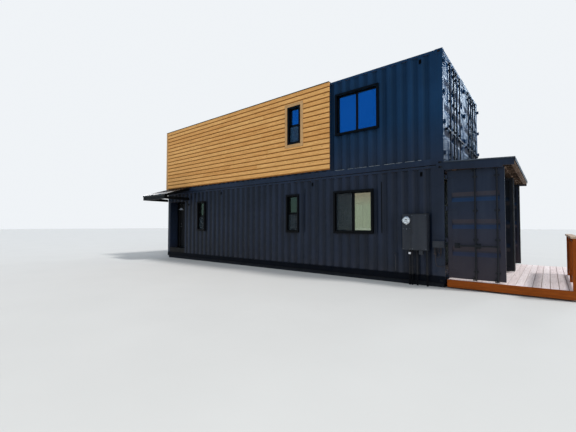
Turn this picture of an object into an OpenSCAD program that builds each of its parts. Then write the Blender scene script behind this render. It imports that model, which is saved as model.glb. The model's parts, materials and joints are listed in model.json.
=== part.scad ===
// Two-storey cabin made of four high-cube shipping containers, two side by side on each storey.
// X runs along the containers towards the deck, Y across them, and the entrance wall faces -Y.
// The origin is at ground level, in the middle of the containers' footprint.

/* [Containers] */
// Length of a container
box_l = 12192; // [10500:1:13700]
// Width of a container
box_w = 2438; // [2350:1:2600]
// Height of a container
box_h = 2896; // [2850:1:3000]
// Gap between the two containers of a storey
box_gap = 20; // [10:1:60]
// Height of the footing under the containers
footing_h = 100; // [60:1:200]
// Width of the footing strips
footing_w = 260; // [180:1:400]

/* [Frame] */
// Length of a corner casting along the container
cast_l = 178; // [150:1:200]
// Width of a corner casting
cast_w = 162; // [140:1:180]
// Height of a corner casting
cast_h = 118; // [100:1:130]
// Distance that the castings stand proud of posts and rails
cast_proud = 6; // [4:1:10]
// Height of the bottom rails
low_rail_h = 162; // [150:1:180]
// Height of the top rails
top_rail_h = 60; // [50:1:80]
// Thickness of the rails
rail_t = 60; // [50:1:75]
// Length of the slot in a casting
slot_l = 80; // [60:1:95]
// Height of the slot in a casting
slot_h = 50; // [40:1:60]
// Depth of the slot in a casting
slot_depth = 26; // [15:1:40]

/* [Walls and floors] */
// Pitch of the wall corrugation
corr_pitch = 278; // [240:1:300]
// Depth of the wall corrugation
corr_d = 36; // [25:1:45]
// Width of the sloped face of a corrugation
corr_slope = 68; // [50:1:75]
// Height of the finished ground floor over the container's underside
ground_floor_h = 330; // [250:1:345]
// Thickness of the lining between container floor and finished floor upstairs
upper_floor_t = 30; // [15:1:60]
// Pitch of the roof ribs
roof_pitch = 418; // [300:1:600]
// Depth of the roof ribs
roof_rib = 18; // [10:1:25]

/* [Windows] */
// Distance of the wide window's middle from the deck end downstairs
wide_x = 2460; // [2100:1:2500]
// Distance of the wide window's middle from the deck end upstairs
wide_up_x = 2335; // [2100:1:2500]
// Width of the wide window downstairs
wide_w = 1260; // [900:1:1300]
// Width of the wide window upstairs
wide_up_w = 1370; // [900:1:1400]
// Distance of the near narrow window's middle from the deck end downstairs
narrow_x = 4665; // [4450:1:4800]
// Distance of the narrow window's middle from the deck end upstairs
narrow_up_x = 4570; // [4450:1:4800]
// Distance of the far narrow window's middle from the deck end
far_x = 9610; // [9300:1:9700]
// Width of the narrow windows
narrow_w = 530; // [400:1:600]
// Height of the windows
win_h = 1250; // [1000:1:1300]
// Height of the window sills downstairs over the container's underside
win_sill = 1180; // [1100:1:1250]
// Height of the window sills upstairs over the container's underside
win_up_sill = 1210; // [1100:1:1250]
// Distance that window frames stand proud of the wall
win_proud = 45; // [20:1:60]
// Width of a window frame bar
win_bar = 60; // [40:1:70]
// Width of the bar between two panes
mullion_w = 50; // [35:1:70]
// Thickness of the glass units
glass_t = 20; // [12:1:24]

/* [Entrance] */
// Width of the alcove in front of the entrance door
alcove_w = 1184; // [1150:1:1300]
// Depth of the alcove
alcove_d = 400; // [350:1:500]
// Height of the alcove's sill over the container's underside
alcove_sill = 380; // [360:1:400]
// Drop of the alcove's head under the container's top
alcove_drop = 410; // [296:1:426]
// Width of the door leaf
door_w = 914; // [850:1:930]
// Thickness of the door leaf
door_t = 45; // [38:1:50]
// Width of the entrance frame's bars
door_bar = 45; // [40:1:60]
// Clearance round the door leaf
door_gap = 8; // [6:1:12]
// Width of the porch roof over the entrance
porch_w = 1750; // [1500:1:1800]
// Reach of the porch roof out from the wall
porch_l = 1200; // [900:1:1400]
// Fall of the porch roof in degrees
porch_a = 17; // [14:0.5:19]
// Height of the porch roof at the wall over the lower containers' top
porch_z = 192; // [150:1:195]
// Drop of the porch's lower bars under the container's top
porch_hang = 376; // [356:1:446]

/* [Cargo doors] */
// Distance of the hinge pins outside the end plane
pin_x = 35; // [32:1:45]
// Distance of the hinge pins from the container's side
pin_y = 28; // [24:1:34]
// Radius of the hinge pins
pin_r = 9; // [7:1:11]
// Radius of the hinge knuckles
knuckle_r = 17; // [15:1:18]
// Height of a hinge knuckle
knuckle_h = 70; // [50:1:90]
// Distance of the leaf's hinge edge from the container's side
leaf_edge = 48; // [44:1:54]
// Clearance between the free edges of a closed pair
leaf_gap = 12; // [10:1:20]
// Height of the leaf's foot over the container's underside
leaf_z0 = 150; // [145:1:170]
// Distance of the leaf's head below the container's top
leaf_head = 171; // [161:1:240]
// Thickness of the leaf
leaf_t = 50; // [45:1:60]
// Width of the leaf's frame bars
leaf_bar = 90; // [60:1:120]
// Thickness of the leaf's pressed sheet
sheet_t = 12; // [8:1:16]
// Depth of the pressed grooves in the leaf
groove_d = 34; // [20:1:36]
// Height of the pressed grooves in the leaf
groove_h = 225; // [180:1:300]
// Height of the flat bottom of a groove
groove_flat = 35; // [20:1:80]
// Radius of the lock rods
rod_r = 17; // [14:1:19]
// Distance of the first lock rod from the leaf's hinge edge
rod_1 = 590; // [400:1:620]
// Distance of the second lock rod from the leaf's hinge edge
rod_2 = 1020; // [900:1:1040]
// Distance of the lock rods' middle from the leaf's face
rod_off = 32; // [28:1:36]
// Height of the lock handles over the container's underside
handle_z = 930; // [800:1:1200]

/* [Cladding] */
// Distance of the cladding's end from the deck end
clad_x = 3210; // [3160:1:3300]
// Thickness of the battens behind the cladding
batten_t = 38; // [25:1:45]
// Thickness of a board at its lower edge
board_t = 32; // [20:1:40]
// Height of the cladding's foot over the upper containers' underside
clad_z = 215; // [200:1:235]
// Height of the cladding's head over the upper containers' top
clad_over = 14; // [8:1:30]
// Number of boards
board_n = 17; // [12:1:22]
// Height of the groove under a board
board_groove = 28; // [10:1:35]
// Width of the corner boards and window casing
trim_w = 110; // [60:1:130]

/* [Deck roof] */
// Reach of the roof over the deck
deck_roof_l = 1455; // [1340:1:1600]
// Fall of the roof over the deck in degrees
deck_roof_a = 2.8; // [2:0.1:4.5]
// Height of the deck roof at the wall over the lower containers' top
deck_roof_z = 56; // [50:1:90]
// Depth of the rafters
rafter_h = 89; // [80:1:92]
// Thickness of rafters and boards
board_w = 38; // [30:1:45]
// Spacing of the rafters
rafter_pitch = 600; // [400:1:800]
// Depth of the fascias
fascia_h = 184; // [140:1:200]
// Width of the beam at the roof's outer end
rim_w = 89; // [60:1:110]
// Thickness of the roofing
roofing_t = 12; // [8:1:16]

/* [Deck] */
// Length of the deck out from the containers
deck_l = 2370; // [2000:1:3000]
// Distance of the deck's sides inside the containers' sides
deck_in = 8; // [0:1:1000]
// Height of the deck over the containers' underside
deck_z = 112; // [105:1:125]
// Width of a deck board
plank_w = 140; // [90:1:145]
// Gap between deck boards
plank_gap = 6; // [4:1:10]
// Depth of the deck joists
joist_h = 140; // [120:1:150]
// Length of the guard along the deck's edge
guard_l = 2760; // [1500:1:3400]
// Height of the guard over the deck
guard_h = 1070; // [900:1:1200]
// Width of the guard posts
guard_post = 89; // [70:1:110]
// Spacing of the guard's pickets
picket_pitch = 130; // [100:1:160]
// Width of the guard's pickets
picket_w = 36; // [25:1:45]

/* [Services] */
// Distance of the service boxes' deck-side edge from the deck end
panel_x = 354; // [250:1:400]
// Width of the panel box
panel_w = 395; // [300:1:420]
// Width of the meter box
meter_w = 222; // [205:1:300]
// Height of the boxes
panel_h = 910; // [700:1:950]
// Height of the boxes' foot over the container's underside
panel_z = 785; // [700:1:900]
// Depth of the boxes
panel_d = 190; // [120:1:220]
// Radius of the meter's glass
meter_r = 88; // [70:1:100]
// Radius of the conduits
conduit_r = 24; // [15:1:30]

/* [Hidden] */
$fn = 32;

steel = "#2a3440";
black = "#15171a";
timber = "#b98a52";
cedar = "#8a4a22";
planks = "#a08c7c";
grey = "#3c444c";

x_dk = box_l / 2;
x_st = -x_dk;
y_in = box_gap / 2;
y_bk = y_in + box_w;
y_fr = -y_bk;
z_lo = footing_h;
z_up = z_lo + box_h;
z_top = z_up + box_h;
leaf_z1 = box_h - leaf_head;
alcove_head = box_h - alcove_drop;
porch_foot = box_h - porch_hang;
deck_w = 2 * (y_bk - deck_in);
rail_in = cast_proud;
rail_face = rail_in + rail_t;
wall_z0 = low_rail_h;
wall_z1 = box_h - rail_in - top_rail_h;
wall_face = cast_proud + 4;
wall_h = wall_z1 - wall_z0;
long_l = box_l - 2 * cast_l;
end_l = box_w - 2 * cast_w;
corr_flat = corr_pitch / 2 - corr_slope;
inner_x = x_st + cast_l;
inner_y = y_fr + cast_w;
frame_t = 120;
alcove_x = inner_x + alcove_w;
alcove_y = y_fr + alcove_d;
leaf_face = cast_proud + 2;
leaf_w = (box_w - 2 * leaf_edge - leaf_gap) / 2;
leaf_play = 10;
rebate_x = leaf_face + leaf_t + 8;
rebate_y = leaf_edge - 6;
patio_x = x_dk - cast_l;
patio_t = 100;
clad_back = wall_face - batten_t;
clad_face = clad_back - board_t;
trim_face = clad_face - 12;
clad_z0 = z_up + clad_z;
clad_z1 = z_top + clad_over;
past = 1000;

module both_sides() {
    children();
    mirror([0, 1, 0]) children();
}

// Frames of the containers
module slot() {
    translate([0, slot_depth, 0]) rotate([90, 0, 0]) linear_extrude(slot_depth + 1) {
        square([slot_l - slot_h, slot_h], center = true);
        for (s = [-1, 1]) translate([s * (slot_l - slot_h) / 2, 0]) circle(d = slot_h);
    }
}

module casting() {
    difference() {
        cube([cast_l, cast_w, cast_h]);
        translate([cast_l / 2, 0, cast_h / 2]) slot();
        translate([0, cast_w / 2, cast_h / 2]) rotate([0, 0, -90]) slot();
    }
}

// A post has its outer corner at the origin and the container towards +X and +Y
module corner_post() {
    casting();
    translate([0, 0, box_h - cast_h]) casting();
    translate([cast_proud, cast_proud, cast_h])
        cube([cast_l - cast_proud, cast_w - cast_proud, box_h - 2 * cast_h]);
}

hinge_end = 140;
hinge_z = [for (k = [0:3]) leaf_z0 + hinge_end + k * (leaf_z1 - leaf_z0 - 2 * hinge_end) / 3];
lug_t = 14;
lug_gap = 1;

// A deck-end post has a rebate for the door leaf, and lugs that hold the hinge pins
module door_post() {
    difference() {
        corner_post();
        translate([0, rebate_y, cast_h]) cube([rebate_x, cast_w, box_h - 2 * cast_h]);
    }
    for (z = hinge_z) {
        for (s = [-1, 1]) translate([0, pin_y, z + s * (knuckle_h / 2 + lug_gap + lug_t / 2)]) {
            translate([-pin_x, 0, 0]) cylinder(r = knuckle_r, h = lug_t, center = true);
            translate([-pin_x, -knuckle_r / 2, -lug_t / 2]) cube([pin_x + cast_proud, knuckle_r, lug_t]);
        }
        translate([-pin_x, pin_y, z])
            cylinder(r = pin_r, h = knuckle_h + 2 * (lug_gap + lug_t) + 6, center = true);
    }
}

module at_street_corners() {
    translate([x_st, y_fr, 0]) children();
    translate([x_st, -y_in, 0]) mirror([0, 1, 0]) children();
}

module at_deck_corners() {
    translate([x_dk, y_fr, 0]) mirror([1, 0, 0]) children();
    translate([x_dk, -y_in, 0]) mirror([1, 0, 0]) mirror([0, 1, 0]) children();
}

module storey_posts() {
    both_sides() {
        at_street_corners() corner_post();
        at_deck_corners() door_post();
    }
}

module storey_rails() {
    sill_h = leaf_z0 - leaf_play - 2 * cast_proud;
    head_z = leaf_z1 + leaf_play;
    both_sides() {
        for (y = [y_fr + rail_in, -y_in - rail_face]) {
            translate([inner_x, y, 2 * cast_proud]) cube([long_l, rail_t, low_rail_h - 2 * cast_proud]);
            translate([inner_x, y, wall_z1]) cube([long_l, rail_t, top_rail_h]);
        }
        translate([x_st + rail_in, inner_y, 2 * cast_proud])
            cube([rail_t, end_l, low_rail_h - 2 * cast_proud]);
        translate([x_st + rail_in, inner_y, wall_z1]) cube([rail_t, end_l, top_rail_h]);
        translate([x_dk - rail_face, inner_y, 2 * cast_proud]) cube([rail_t, end_l, sill_h]);
        translate([x_dk - rail_face, inner_y, head_z]) cube([rail_t, end_l, box_h - rail_in - head_z]);
    }
}

module lower_posts() { color(steel) translate([0, 0, z_lo]) storey_posts(); }
module upper_posts() { color(steel) translate([0, 0, z_up]) storey_posts(); }
module lower_rails() { color(steel) translate([0, 0, z_lo]) storey_rails(); }
module upper_rails() { color(steel) translate([0, 0, z_up]) storey_rails(); }

// Base: strips under the container rails, and pads under the deck's joists
module footing() {
    pad = 220;
    inset = 40;
    color("#4a4a48") {
        translate([x_st + inset, y_fr + inset, 0]) linear_extrude(footing_h) difference() {
            square([box_l - 2 * inset, 2 * y_bk - 2 * inset]);
            for (s = [0, 1]) translate([footing_w, footing_w + s * (y_bk - inset - footing_w / 2)])
                square([box_l - 2 * inset - 2 * footing_w, y_bk - inset - 1.5 * footing_w]);
        }
        for (x = deck_pad_x, i = [1, joist_n / 2, joist_n - 1])
            translate([x - pad / 2, joist_y(i) + (board_w - pad) / 2, 0]) cube([pad, pad, deck_under]);
    }
}

// Floors and roof
module slab_outline() {
    difference() {
        translate([x_st + rail_face, y_fr + rail_face])
            square([box_l - 2 * rail_face, box_w - 2 * rail_face]);
        at_street_corners() square([cast_l, cast_w]);
        at_deck_corners() square([cast_l, cast_w]);
    }
}

module room_outline() {
    translate([inner_x, inner_y]) square([patio_x - inner_x, -2 * inner_y]);
}

module ground_floor() {
    color("#9a8a72") translate([0, 0, z_lo]) {
        translate([0, 0, 2 * cast_proud]) linear_extrude(low_rail_h - 2 * cast_proud)
            both_sides() slab_outline();
        translate([0, 0, low_rail_h]) linear_extrude(ground_floor_h - low_rail_h) difference() {
            room_outline();
            translate([inner_x, y_fr]) square([alcove_w + frame_t, alcove_d + frame_t]);
        }
    }
}

module ground_ceiling() {
    color("#d8d6d0") translate([0, 0, z_lo + wall_z1]) linear_extrude(top_rail_h)
        both_sides() slab_outline();
}

module upper_floor() {
    color("#9a8a72") translate([0, 0, z_up]) {
        translate([0, 0, 2 * cast_proud]) linear_extrude(low_rail_h - 2 * cast_proud)
            both_sides() slab_outline();
        translate([0, 0, low_rail_h]) linear_extrude(upper_floor_t) room_outline();
    }
}

// The roof sheets have ribs across the containers
module upper_roof() {
    l = box_l - 2 * rail_face;
    n = floor(l / roof_pitch);
    start = (l - n * roof_pitch) / 2;
    rib = roof_pitch / 3;
    slope = 2 * roof_rib;
    tops = [for (i = [0:n - 1]) for (p = [[0, 0], [slope, 1], [slope + rib, 1], [2 * slope + rib, 0]])
        [start + i * roof_pitch + p[0], top_rail_h - 4 - roof_rib + p[1] * roof_rib]];
    edge = top_rail_h - 4 - roof_rib;
    color(steel) both_sides() difference() {
        translate([x_st + rail_face, -y_in - rail_face, z_up + wall_z1]) rotate([90, 0, 0])
            linear_extrude(box_w - 2 * rail_face)
            polygon(concat([[0, 0], [0, edge]], tops, [[l, edge], [l, 0]]));
        translate([0, 0, z_up + wall_z1 - 1]) linear_extrude(top_rail_h + 2) {
            at_street_corners() square([cast_l, cast_w]);
            at_deck_corners() square([cast_l, cast_w]);
        }
    }
}

// Corrugated walls: the outline starts at the origin, runs along +X, and the room is towards +Y
function corr_start(l) = (l - floor((l - corr_flat) / corr_pitch) * corr_pitch + corr_flat) / 2;
function corr_points(l) = [for (i = [0:floor((l - corr_flat) / corr_pitch) - 1])
    for (p = [[0, 0], [corr_slope, corr_d], [corr_slope + corr_flat, corr_d], [corr_pitch - corr_flat, 0]])
        [corr_start(l) + i * corr_pitch + p[0], p[1]]];
// The middle of the crest nearest to a place along the long wall
function crest(x) = inner_x + corr_start(long_l) - corr_flat / 2
    + corr_pitch * round((x - inner_x - corr_start(long_l) + corr_flat / 2) / corr_pitch);

module wall_outline(l, t) {
    polygon(concat([[0, t], [0, 0]], corr_points(l), [[l, 0], [l, t]]));
}

module long_wall(z0, z1) {
    translate([inner_x, y_fr + wall_face, z0]) linear_extrude(z1 - z0)
        wall_outline(long_l, cast_w - wall_face);
}

module street_wall() {
    both_sides() translate([x_st + wall_face, inner_y, wall_z0]) rotate([0, 0, -90]) mirror([1, 0, 0])
        linear_extrude(wall_h) wall_outline(end_l, cast_l - wall_face);
}

// Windows: middle from the deck end, width, and whether the bar between the panes stands upright
lower_windows = [[wide_x, wide_w, true], [narrow_x, narrow_w, false], [far_x, narrow_w, false]];
upper_windows = [[wide_up_x, wide_up_w, true], [narrow_up_x, narrow_w, false]];

module window_holes(windows, sill) {
    for (w = windows) translate([x_dk - w[0] - w[1] / 2, y_fr - past / 2, sill])
        cube([w[1], past, win_h]);
}

module lower_long_wall() {
    difference() {
        long_wall(wall_z0, wall_z1);
        window_holes(lower_windows, win_sill);
    }
}

module upper_long_wall() {
    difference() {
        long_wall(wall_z0, wall_z1);
        window_holes(upper_windows, win_up_sill);
    }
}

module lower_front_wall() {
    color(steel) translate([0, 0, z_lo]) difference() {
        lower_long_wall();
        translate([inner_x - past, y_fr - past / 2, 0]) cube([alcove_w + past, past, box_h]);
    }
}
module lower_back_wall() { color(steel) translate([0, 0, z_lo]) mirror([0, 1, 0]) lower_long_wall(); }
module upper_front_wall() { color(steel) translate([0, 0, z_up]) upper_long_wall(); }
module upper_back_wall() { color(steel) translate([0, 0, z_up]) mirror([0, 1, 0]) upper_long_wall(); }
module lower_street_wall() { color(steel) translate([0, 0, z_lo]) street_wall(); }
module upper_street_wall() { color(steel) translate([0, 0, z_up]) street_wall(); }

// Entrance alcove at the street end of the entrance wall
module entry_sill() {
    color(black) translate([inner_x, y_fr + wall_face, z_lo + wall_z0])
        cube([alcove_w, alcove_d + frame_t - wall_face, alcove_sill - wall_z0]);
}

module entry_side_wall() {
    color(steel) translate([alcove_x, inner_y, z_lo + wall_z0])
        cube([frame_t, alcove_d + frame_t - cast_w, wall_h]);
}

module entry_header() {
    color(steel) translate([0, 0, z_lo]) {
        difference() {
            long_wall(alcove_head, wall_z1);
            translate([alcove_x, y_fr - past / 2, 0]) cube([box_l, past, box_h]);
        }
        translate([inner_x, inner_y, alcove_head])
            cube([alcove_w, alcove_d + frame_t - cast_w, wall_z1 - alcove_head]);
    }
}

door_x0 = inner_x + (alcove_w - door_w) / 2;
door_x1 = door_x0 + door_w;
door_z0 = z_lo + alcove_sill + 24;
door_z1 = z_lo + alcove_head - door_bar - door_gap;
door_y1 = alcove_y + frame_t;

// Butt hinges: the barrel's middle is on the door, its ends and its pin on the frame
butt_r = 8;
butt_h = 36;
butt_pin_r = 4;
butt_x = door_x1 + door_gap / 2;
butt_y = door_y1 + butt_r;
butt_end = 200;
butt_z = [door_z0 + butt_end, (door_z0 + door_z1) / 2, door_z1 - butt_end];
butt_play = 0.5;

module butt_frame_side() {
    end_h = butt_h / 2;
    for (s = [-1, 1]) translate([0, 0, s * (butt_h + end_h + 2 * butt_play) / 2]) {
        cylinder(r = butt_r, h = end_h, center = true);
        translate([0, -butt_r - 1, -end_h / 2]) cube([butt_r + door_gap, butt_r + 1, end_h]);
    }
    cylinder(r = butt_pin_r, h = 2 * butt_h, center = true);
}

module butt_door_side() {
    difference() {
        union() {
            cylinder(r = butt_r, h = butt_h, center = true);
            translate([-butt_r - door_gap, -butt_r - 1, -butt_h / 2])
                cube([butt_r + door_gap, butt_r + 1, butt_h]);
        }
        cylinder(r = butt_pin_r + butt_play, h = 2 * butt_h, center = true);
    }
}

module at_butts() {
    for (z = butt_z) translate([butt_x, butt_y, z]) children();
}

module entry_frame() {
    color(black) {
        difference() {
            translate([inner_x, alcove_y, z_lo + alcove_sill])
                cube([alcove_w, frame_t, alcove_head - alcove_sill]);
            translate([door_x0 - door_gap, alcove_y - 1, door_z0 - door_gap])
                cube([door_w + 2 * door_gap, frame_t + 2, door_z1 - door_z0 + 2 * door_gap]);
        }
        at_butts() butt_frame_side();
    }
}

module entry_door() {
    recess = 6;
    rim = 130;
    panel_n = 3;
    panel_h0 = (door_z1 - door_z0 - rim) / panel_n - rim;
    color("#23272c") {
        difference() {
            translate([door_x0, door_y1 - door_t, door_z0]) cube([door_w, door_t, door_z1 - door_z0]);
            for (i = [0:panel_n - 1]) translate([door_x0 + rim, 0, door_z0 + rim + i * (panel_h0 + rim)])
                for (y = [door_y1 - door_t - 1, door_y1 - recess])
                    translate([0, y, 0]) cube([door_w - 2 * rim, recess + 1, panel_h0]);
        }
        at_butts() butt_door_side();
    }
}

// Levers on both faces of the door
module entry_lever() {
    rose_r = 26;
    rose_t = 10;
    stem = 50;
    bar = 18;
    bar_t = 12;
    backset = 65;
    lever_z = 950;
    color("#8a8a8a") for (s = [0, 1])
        translate([door_x0 + backset, door_y1 + (s - 1) * door_t, door_z0 + lever_z]) mirror([0, 1 - s, 0]) {
            rotate([-90, 0, 0]) cylinder(r = rose_r, h = rose_t);
            rotate([-90, 0, 0]) cylinder(d = bar, h = stem);
            translate([-bar / 2, stem - bar_t, -bar / 2]) cube([120, bar_t, bar]);
        }
}

// Porch roof: its section starts at the wall, and runs out along +X
porch_bar = 50;
porch_rake = 100;
porch_chord = 120;
porch_side = 54;
porch_rafters = 3;
porch_play = 0.3;
porch_top = z_up + porch_z - roofing_t / cos(porch_a);

module porch_section(x, w) {
    translate([x_st - porch_side + x + w, y_fr, 0]) rotate([90, 0, -90]) linear_extrude(w) children();
}

module porch_band(l, up, down) {
    h = l * tan(porch_a);
    polygon([[0, porch_top - down], [l, porch_top - h - down], [l, porch_top - h + up], [0, porch_top + up]]);
}

module porch_frame() {
    rake = porch_rake / cos(porch_a);
    foot = z_lo + porch_foot;
    color(black) {
        for (x = [0, porch_w - porch_bar]) porch_section(x, porch_bar) {
            porch_band(porch_l, 0, rake);
            translate([0, foot]) square([porch_l, porch_chord]);
        }
        for (i = [1:porch_rafters - 1])
            porch_section(i * (porch_w - porch_bar) / porch_rafters, porch_bar) porch_band(porch_l, 0, rake);
        porch_section(0, porch_w) {
            porch_band(porch_bar, 0, porch_chord);
            translate([porch_l - porch_bar, foot])
                square([porch_bar, porch_top - porch_l * tan(porch_a) - foot]);
        }
    }
}

module porch_roofing() {
    drip = 15;
    lip = 40;
    edge = porch_top - porch_l * tan(porch_a);
    color(grey) {
        porch_section(-drip, porch_w + 2 * drip)
            porch_band(porch_l + drip, roofing_t / cos(porch_a), -porch_play);
        porch_section(-drip, porch_w + 2 * drip) translate([porch_l + drip / 2, edge - lip])
            square([drip / 2, lip]);
    }
}

// Gooseneck lamp on a crest beside the alcove, under the porch
module entry_lamp() {
    plate_r = 55;
    plate_t = 14;
    arm_r = 9;
    bend = 170;
    stub = 35;
    drop = 130;
    shade_r = 105;
    shade_h = 110;
    shade_t = 5;
    neck_r = 26;
    neck_h = 35;
    bulb_r = 26;
    bulb_h = 35;
    bulb_up = 20;
    lamp_z = porch_foot - bend - arm_r - 20;
    color(black) translate([crest(alcove_x + porch_w / 6), y_fr + wall_face, z_lo + lamp_z]) {
        rotate([90, 0, 0]) cylinder(r = plate_r, h = plate_t);
        rotate([90, 0, 0]) cylinder(r = arm_r, h = stub + arm_r);
        translate([0, -stub, 0]) rotate([90, 0, -90]) translate([bend, 0, 0])
            rotate_extrude(angle = 180) translate([bend, 0]) circle(arm_r);
        translate([0, -stub - 2 * bend, -drop]) {
            cylinder(r = arm_r, h = drop);
            rotate_extrude() polygon([[0, 0], [neck_r, 0], [neck_r, -neck_h], [shade_r, -shade_h],
                [shade_r - shade_t, -shade_h], [neck_r - shade_t, -neck_h - shade_t],
                [0, -neck_h - shade_t]]);
            translate([0, 0, bulb_up - shade_h]) cylinder(r = bulb_r, h = bulb_h);
            translate([0, 0, bulb_up - shade_h]) cylinder(r = bulb_r / 2, h = shade_h - bulb_up - neck_h);
        }
    }
}

// Windows: a box frame that stands proud of the wall, and two panes
module window_frame(w, upright, out) {
    y0 = y_fr - out;
    d = inner_y - y0;
    color(black) difference() {
        translate([-w / 2, y0, 0]) cube([w, d, win_h]);
        difference() {
            translate([win_bar - w / 2, y0 - 1, win_bar])
                cube([w - 2 * win_bar, d + 2, win_h - 2 * win_bar]);
            translate([-w / 2, y0 + sash_in, 0]) window_bar(w, upright);
        }
    }
}

sash_in = 90;
sash_t = 50;
module window_bar(w, upright, t = sash_t) {
    if (upright) translate([(w - mullion_w) / 2, 0, 0]) cube([mullion_w, t, win_h]);
    else translate([0, 0, (win_h - mullion_w) / 2]) cube([w, t, mullion_w]);
}

module window_panes(w, upright, out) {
    color("#5f7f95", 0.4) translate([0, y_fr - out + sash_in + (sash_t - glass_t) / 2, 0]) difference() {
        translate([win_bar - w / 2, 0, win_bar]) cube([w - 2 * win_bar, glass_t, win_h - 2 * win_bar]);
        translate([-w / 2, -sash_t, 0]) window_bar(w, upright, 3 * sash_t);
    }
}

function out_of(w, up) = up && w[0] > clad_x ? -trim_face + 12 : win_proud;

module each_window() {
    both_sides() for (up = [false, true]) for (w = up ? upper_windows : lower_windows)
        translate([x_dk - w[0], 0, up ? z_up + win_up_sill : z_lo + win_sill]) {
            $w = w[1];
            $upright = w[2];
            $out = out_of(w, up);
            children();
        }
}

module window_frames() { each_window() window_frame($w, $upright, $out); }

module window_glass() { each_window() window_panes($w, $upright, $out); }

// Glazed screens behind the cargo doors, each with two panes
patio_w = end_l;
patio_bar = 70;
patio_pane_w = (patio_w - 3 * patio_bar) / 2;
patio_foot = ground_floor_h - wall_z0 + patio_bar;
patio_pane_h = wall_h - patio_foot - patio_bar;

module patio_frames() {
    color(black) both_sides() translate([patio_x, inner_y, z_lo + wall_z0]) difference() {
        cube([patio_t, patio_w, wall_h]);
        for (k = [0, 1]) translate([-1, patio_bar + k * (patio_pane_w + patio_bar), patio_foot])
            cube([patio_t + 2, patio_pane_w, patio_pane_h]);
    }
}

module patio_glass() {
    color("#5f7f95", 0.4) both_sides() for (k = [0, 1])
        translate([patio_x + 20 + k * 35, inner_y + patio_bar + k * (patio_pane_w + patio_bar),
            z_lo + wall_z0 + patio_foot]) cube([glass_t, patio_pane_w, patio_pane_h]);
}

// Cargo doors, drawn closed in the frame of the post that carries them: outside is towards -X
leaf_h = leaf_z1 - leaf_z0;
groove_z = [for (k = [1:3]) leaf_z0 + k * leaf_h / 4];

module leaf_sheet() {
    outer = [for (z = groove_z)
        for (p = [[0, -groove_h], [groove_d, -groove_flat], [groove_d, groove_flat], [0, groove_h]])
            [leaf_face + p[0], z + p[1] / 2]];
    inner = [for (i = [len(outer) - 1:-1:0]) [outer[i][0] + sheet_t, outer[i][1]]];
    low = leaf_z0 + leaf_bar;
    high = leaf_z1 - leaf_bar;
    translate([0, leaf_edge + leaf_w - leaf_bar, 0]) rotate([90, 0, 0])
        linear_extrude(leaf_w - 2 * leaf_bar) polygon(concat(
            [[leaf_face, low]], outer, [[leaf_face, high], [leaf_face + sheet_t, high]], inner,
            [[leaf_face + sheet_t, low]]));
}

module cargo_leaf() {
    blade_l = 190;
    blade_t = 12;
    arm_in = 5;
    difference() {
        union() {
            difference() {
                translate([leaf_face, leaf_edge, leaf_z0]) cube([leaf_t, leaf_w, leaf_h]);
                translate([leaf_face - 1, leaf_edge + leaf_bar, leaf_z0 + leaf_bar])
                    cube([leaf_t + 2, leaf_w - 2 * leaf_bar, leaf_h - 2 * leaf_bar]);
            }
            leaf_sheet();
            for (z = hinge_z) translate([0, 0, z - knuckle_h / 2]) {
                translate([-pin_x, pin_y, 0]) cylinder(r = knuckle_r, h = knuckle_h);
                translate([-pin_x - arm_in, pin_y, 0])
                    cube([pin_x + arm_in - 1, leaf_edge + arm_in - pin_y, knuckle_h]);
                translate([leaf_face - blade_t, leaf_edge, 0]) cube([blade_t, blade_l, knuckle_h]);
            }
        }
        for (z = hinge_z) translate([-pin_x, pin_y, z - knuckle_h])
            cylinder(r = pin_r + 0.5, h = 2 * knuckle_h);
    }
}

// Lock rods stand on the leaf's face, with brackets, a cam and a cam guide at each end, and a handle
rod_over = 16;
bracket_w = 110;
bracket_h = 46;
bracket_t = 5;
bracket_end = 190;
cam_r = 25;
cam_w = 62;
cam_h = 38;
guide_w = 24;
guide_h = 54;
handle_l = 430;
handle_h = 32;
handle_t = 12;
handle_out = 30;
hub_r = 27;
catch_w = 44;
catch_h = 52;
catch_plate = 120;

// A cam turns on the rod beside a guide on the leaf
module rod_end() {
    translate([-rod_off, 0, -rod_over]) {
        cylinder(r = cam_r, h = cam_h);
        translate([-cam_r, -cam_w, 0]) cube([cam_r, cam_w, cam_h / 2]);
    }
    translate([-rod_off - guide_w / 2, -cam_w, guide_w / 3])
        cube([rod_off + guide_w / 2, guide_w, guide_h]);
}

module rod_handle() {
    translate([-rod_off, 0, -catch_h / 2]) cylinder(r = hub_r, h = catch_h);
    translate([-rod_off - handle_out, 0, 0]) {
        translate([0, -handle_l, -handle_h / 2]) cube([handle_t, handle_l, handle_h]);
        rotate([0, 90, 0]) cylinder(d = handle_h, h = handle_t);
        translate([handle_t, catch_w / 2 - handle_l, -catch_h / 2])
            cube([rod_off + handle_out - handle_t, catch_w, catch_h]);
    }
    translate([-bracket_t, catch_w - handle_l - catch_plate / 2, -catch_plate / 2])
        cube([bracket_t, catch_plate, catch_plate]);
}

// A bracket is a flange on the leaf with a hump that holds the rod
module rod_bracket() {
    translate([-bracket_t, -bracket_w / 2, 0]) cube([bracket_t, bracket_w, bracket_h]);
    translate([-rod_off, 0, 0]) {
        cylinder(r = rod_r + bracket_t, h = bracket_h);
        translate([0, -rod_r - bracket_t, 0]) cube([rod_off, 2 * (rod_r + bracket_t), bracket_h]);
    }
}

module lock_rod() {
    translate([-rod_off, 0, leaf_z0 - rod_over]) cylinder(r = rod_r, h = leaf_h + 2 * rod_over);
    for (z = [bracket_end, 0.36 * leaf_h, 0.62 * leaf_h, leaf_h - bracket_end])
        translate([0, 0, leaf_z0 + z - bracket_h / 2]) rod_bracket();
    translate([0, 0, leaf_z0]) rod_end();
    translate([0, 0, leaf_z1]) mirror([0, 0, 1]) rod_end();
    translate([0, 0, handle_z]) rod_handle();
}

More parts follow.
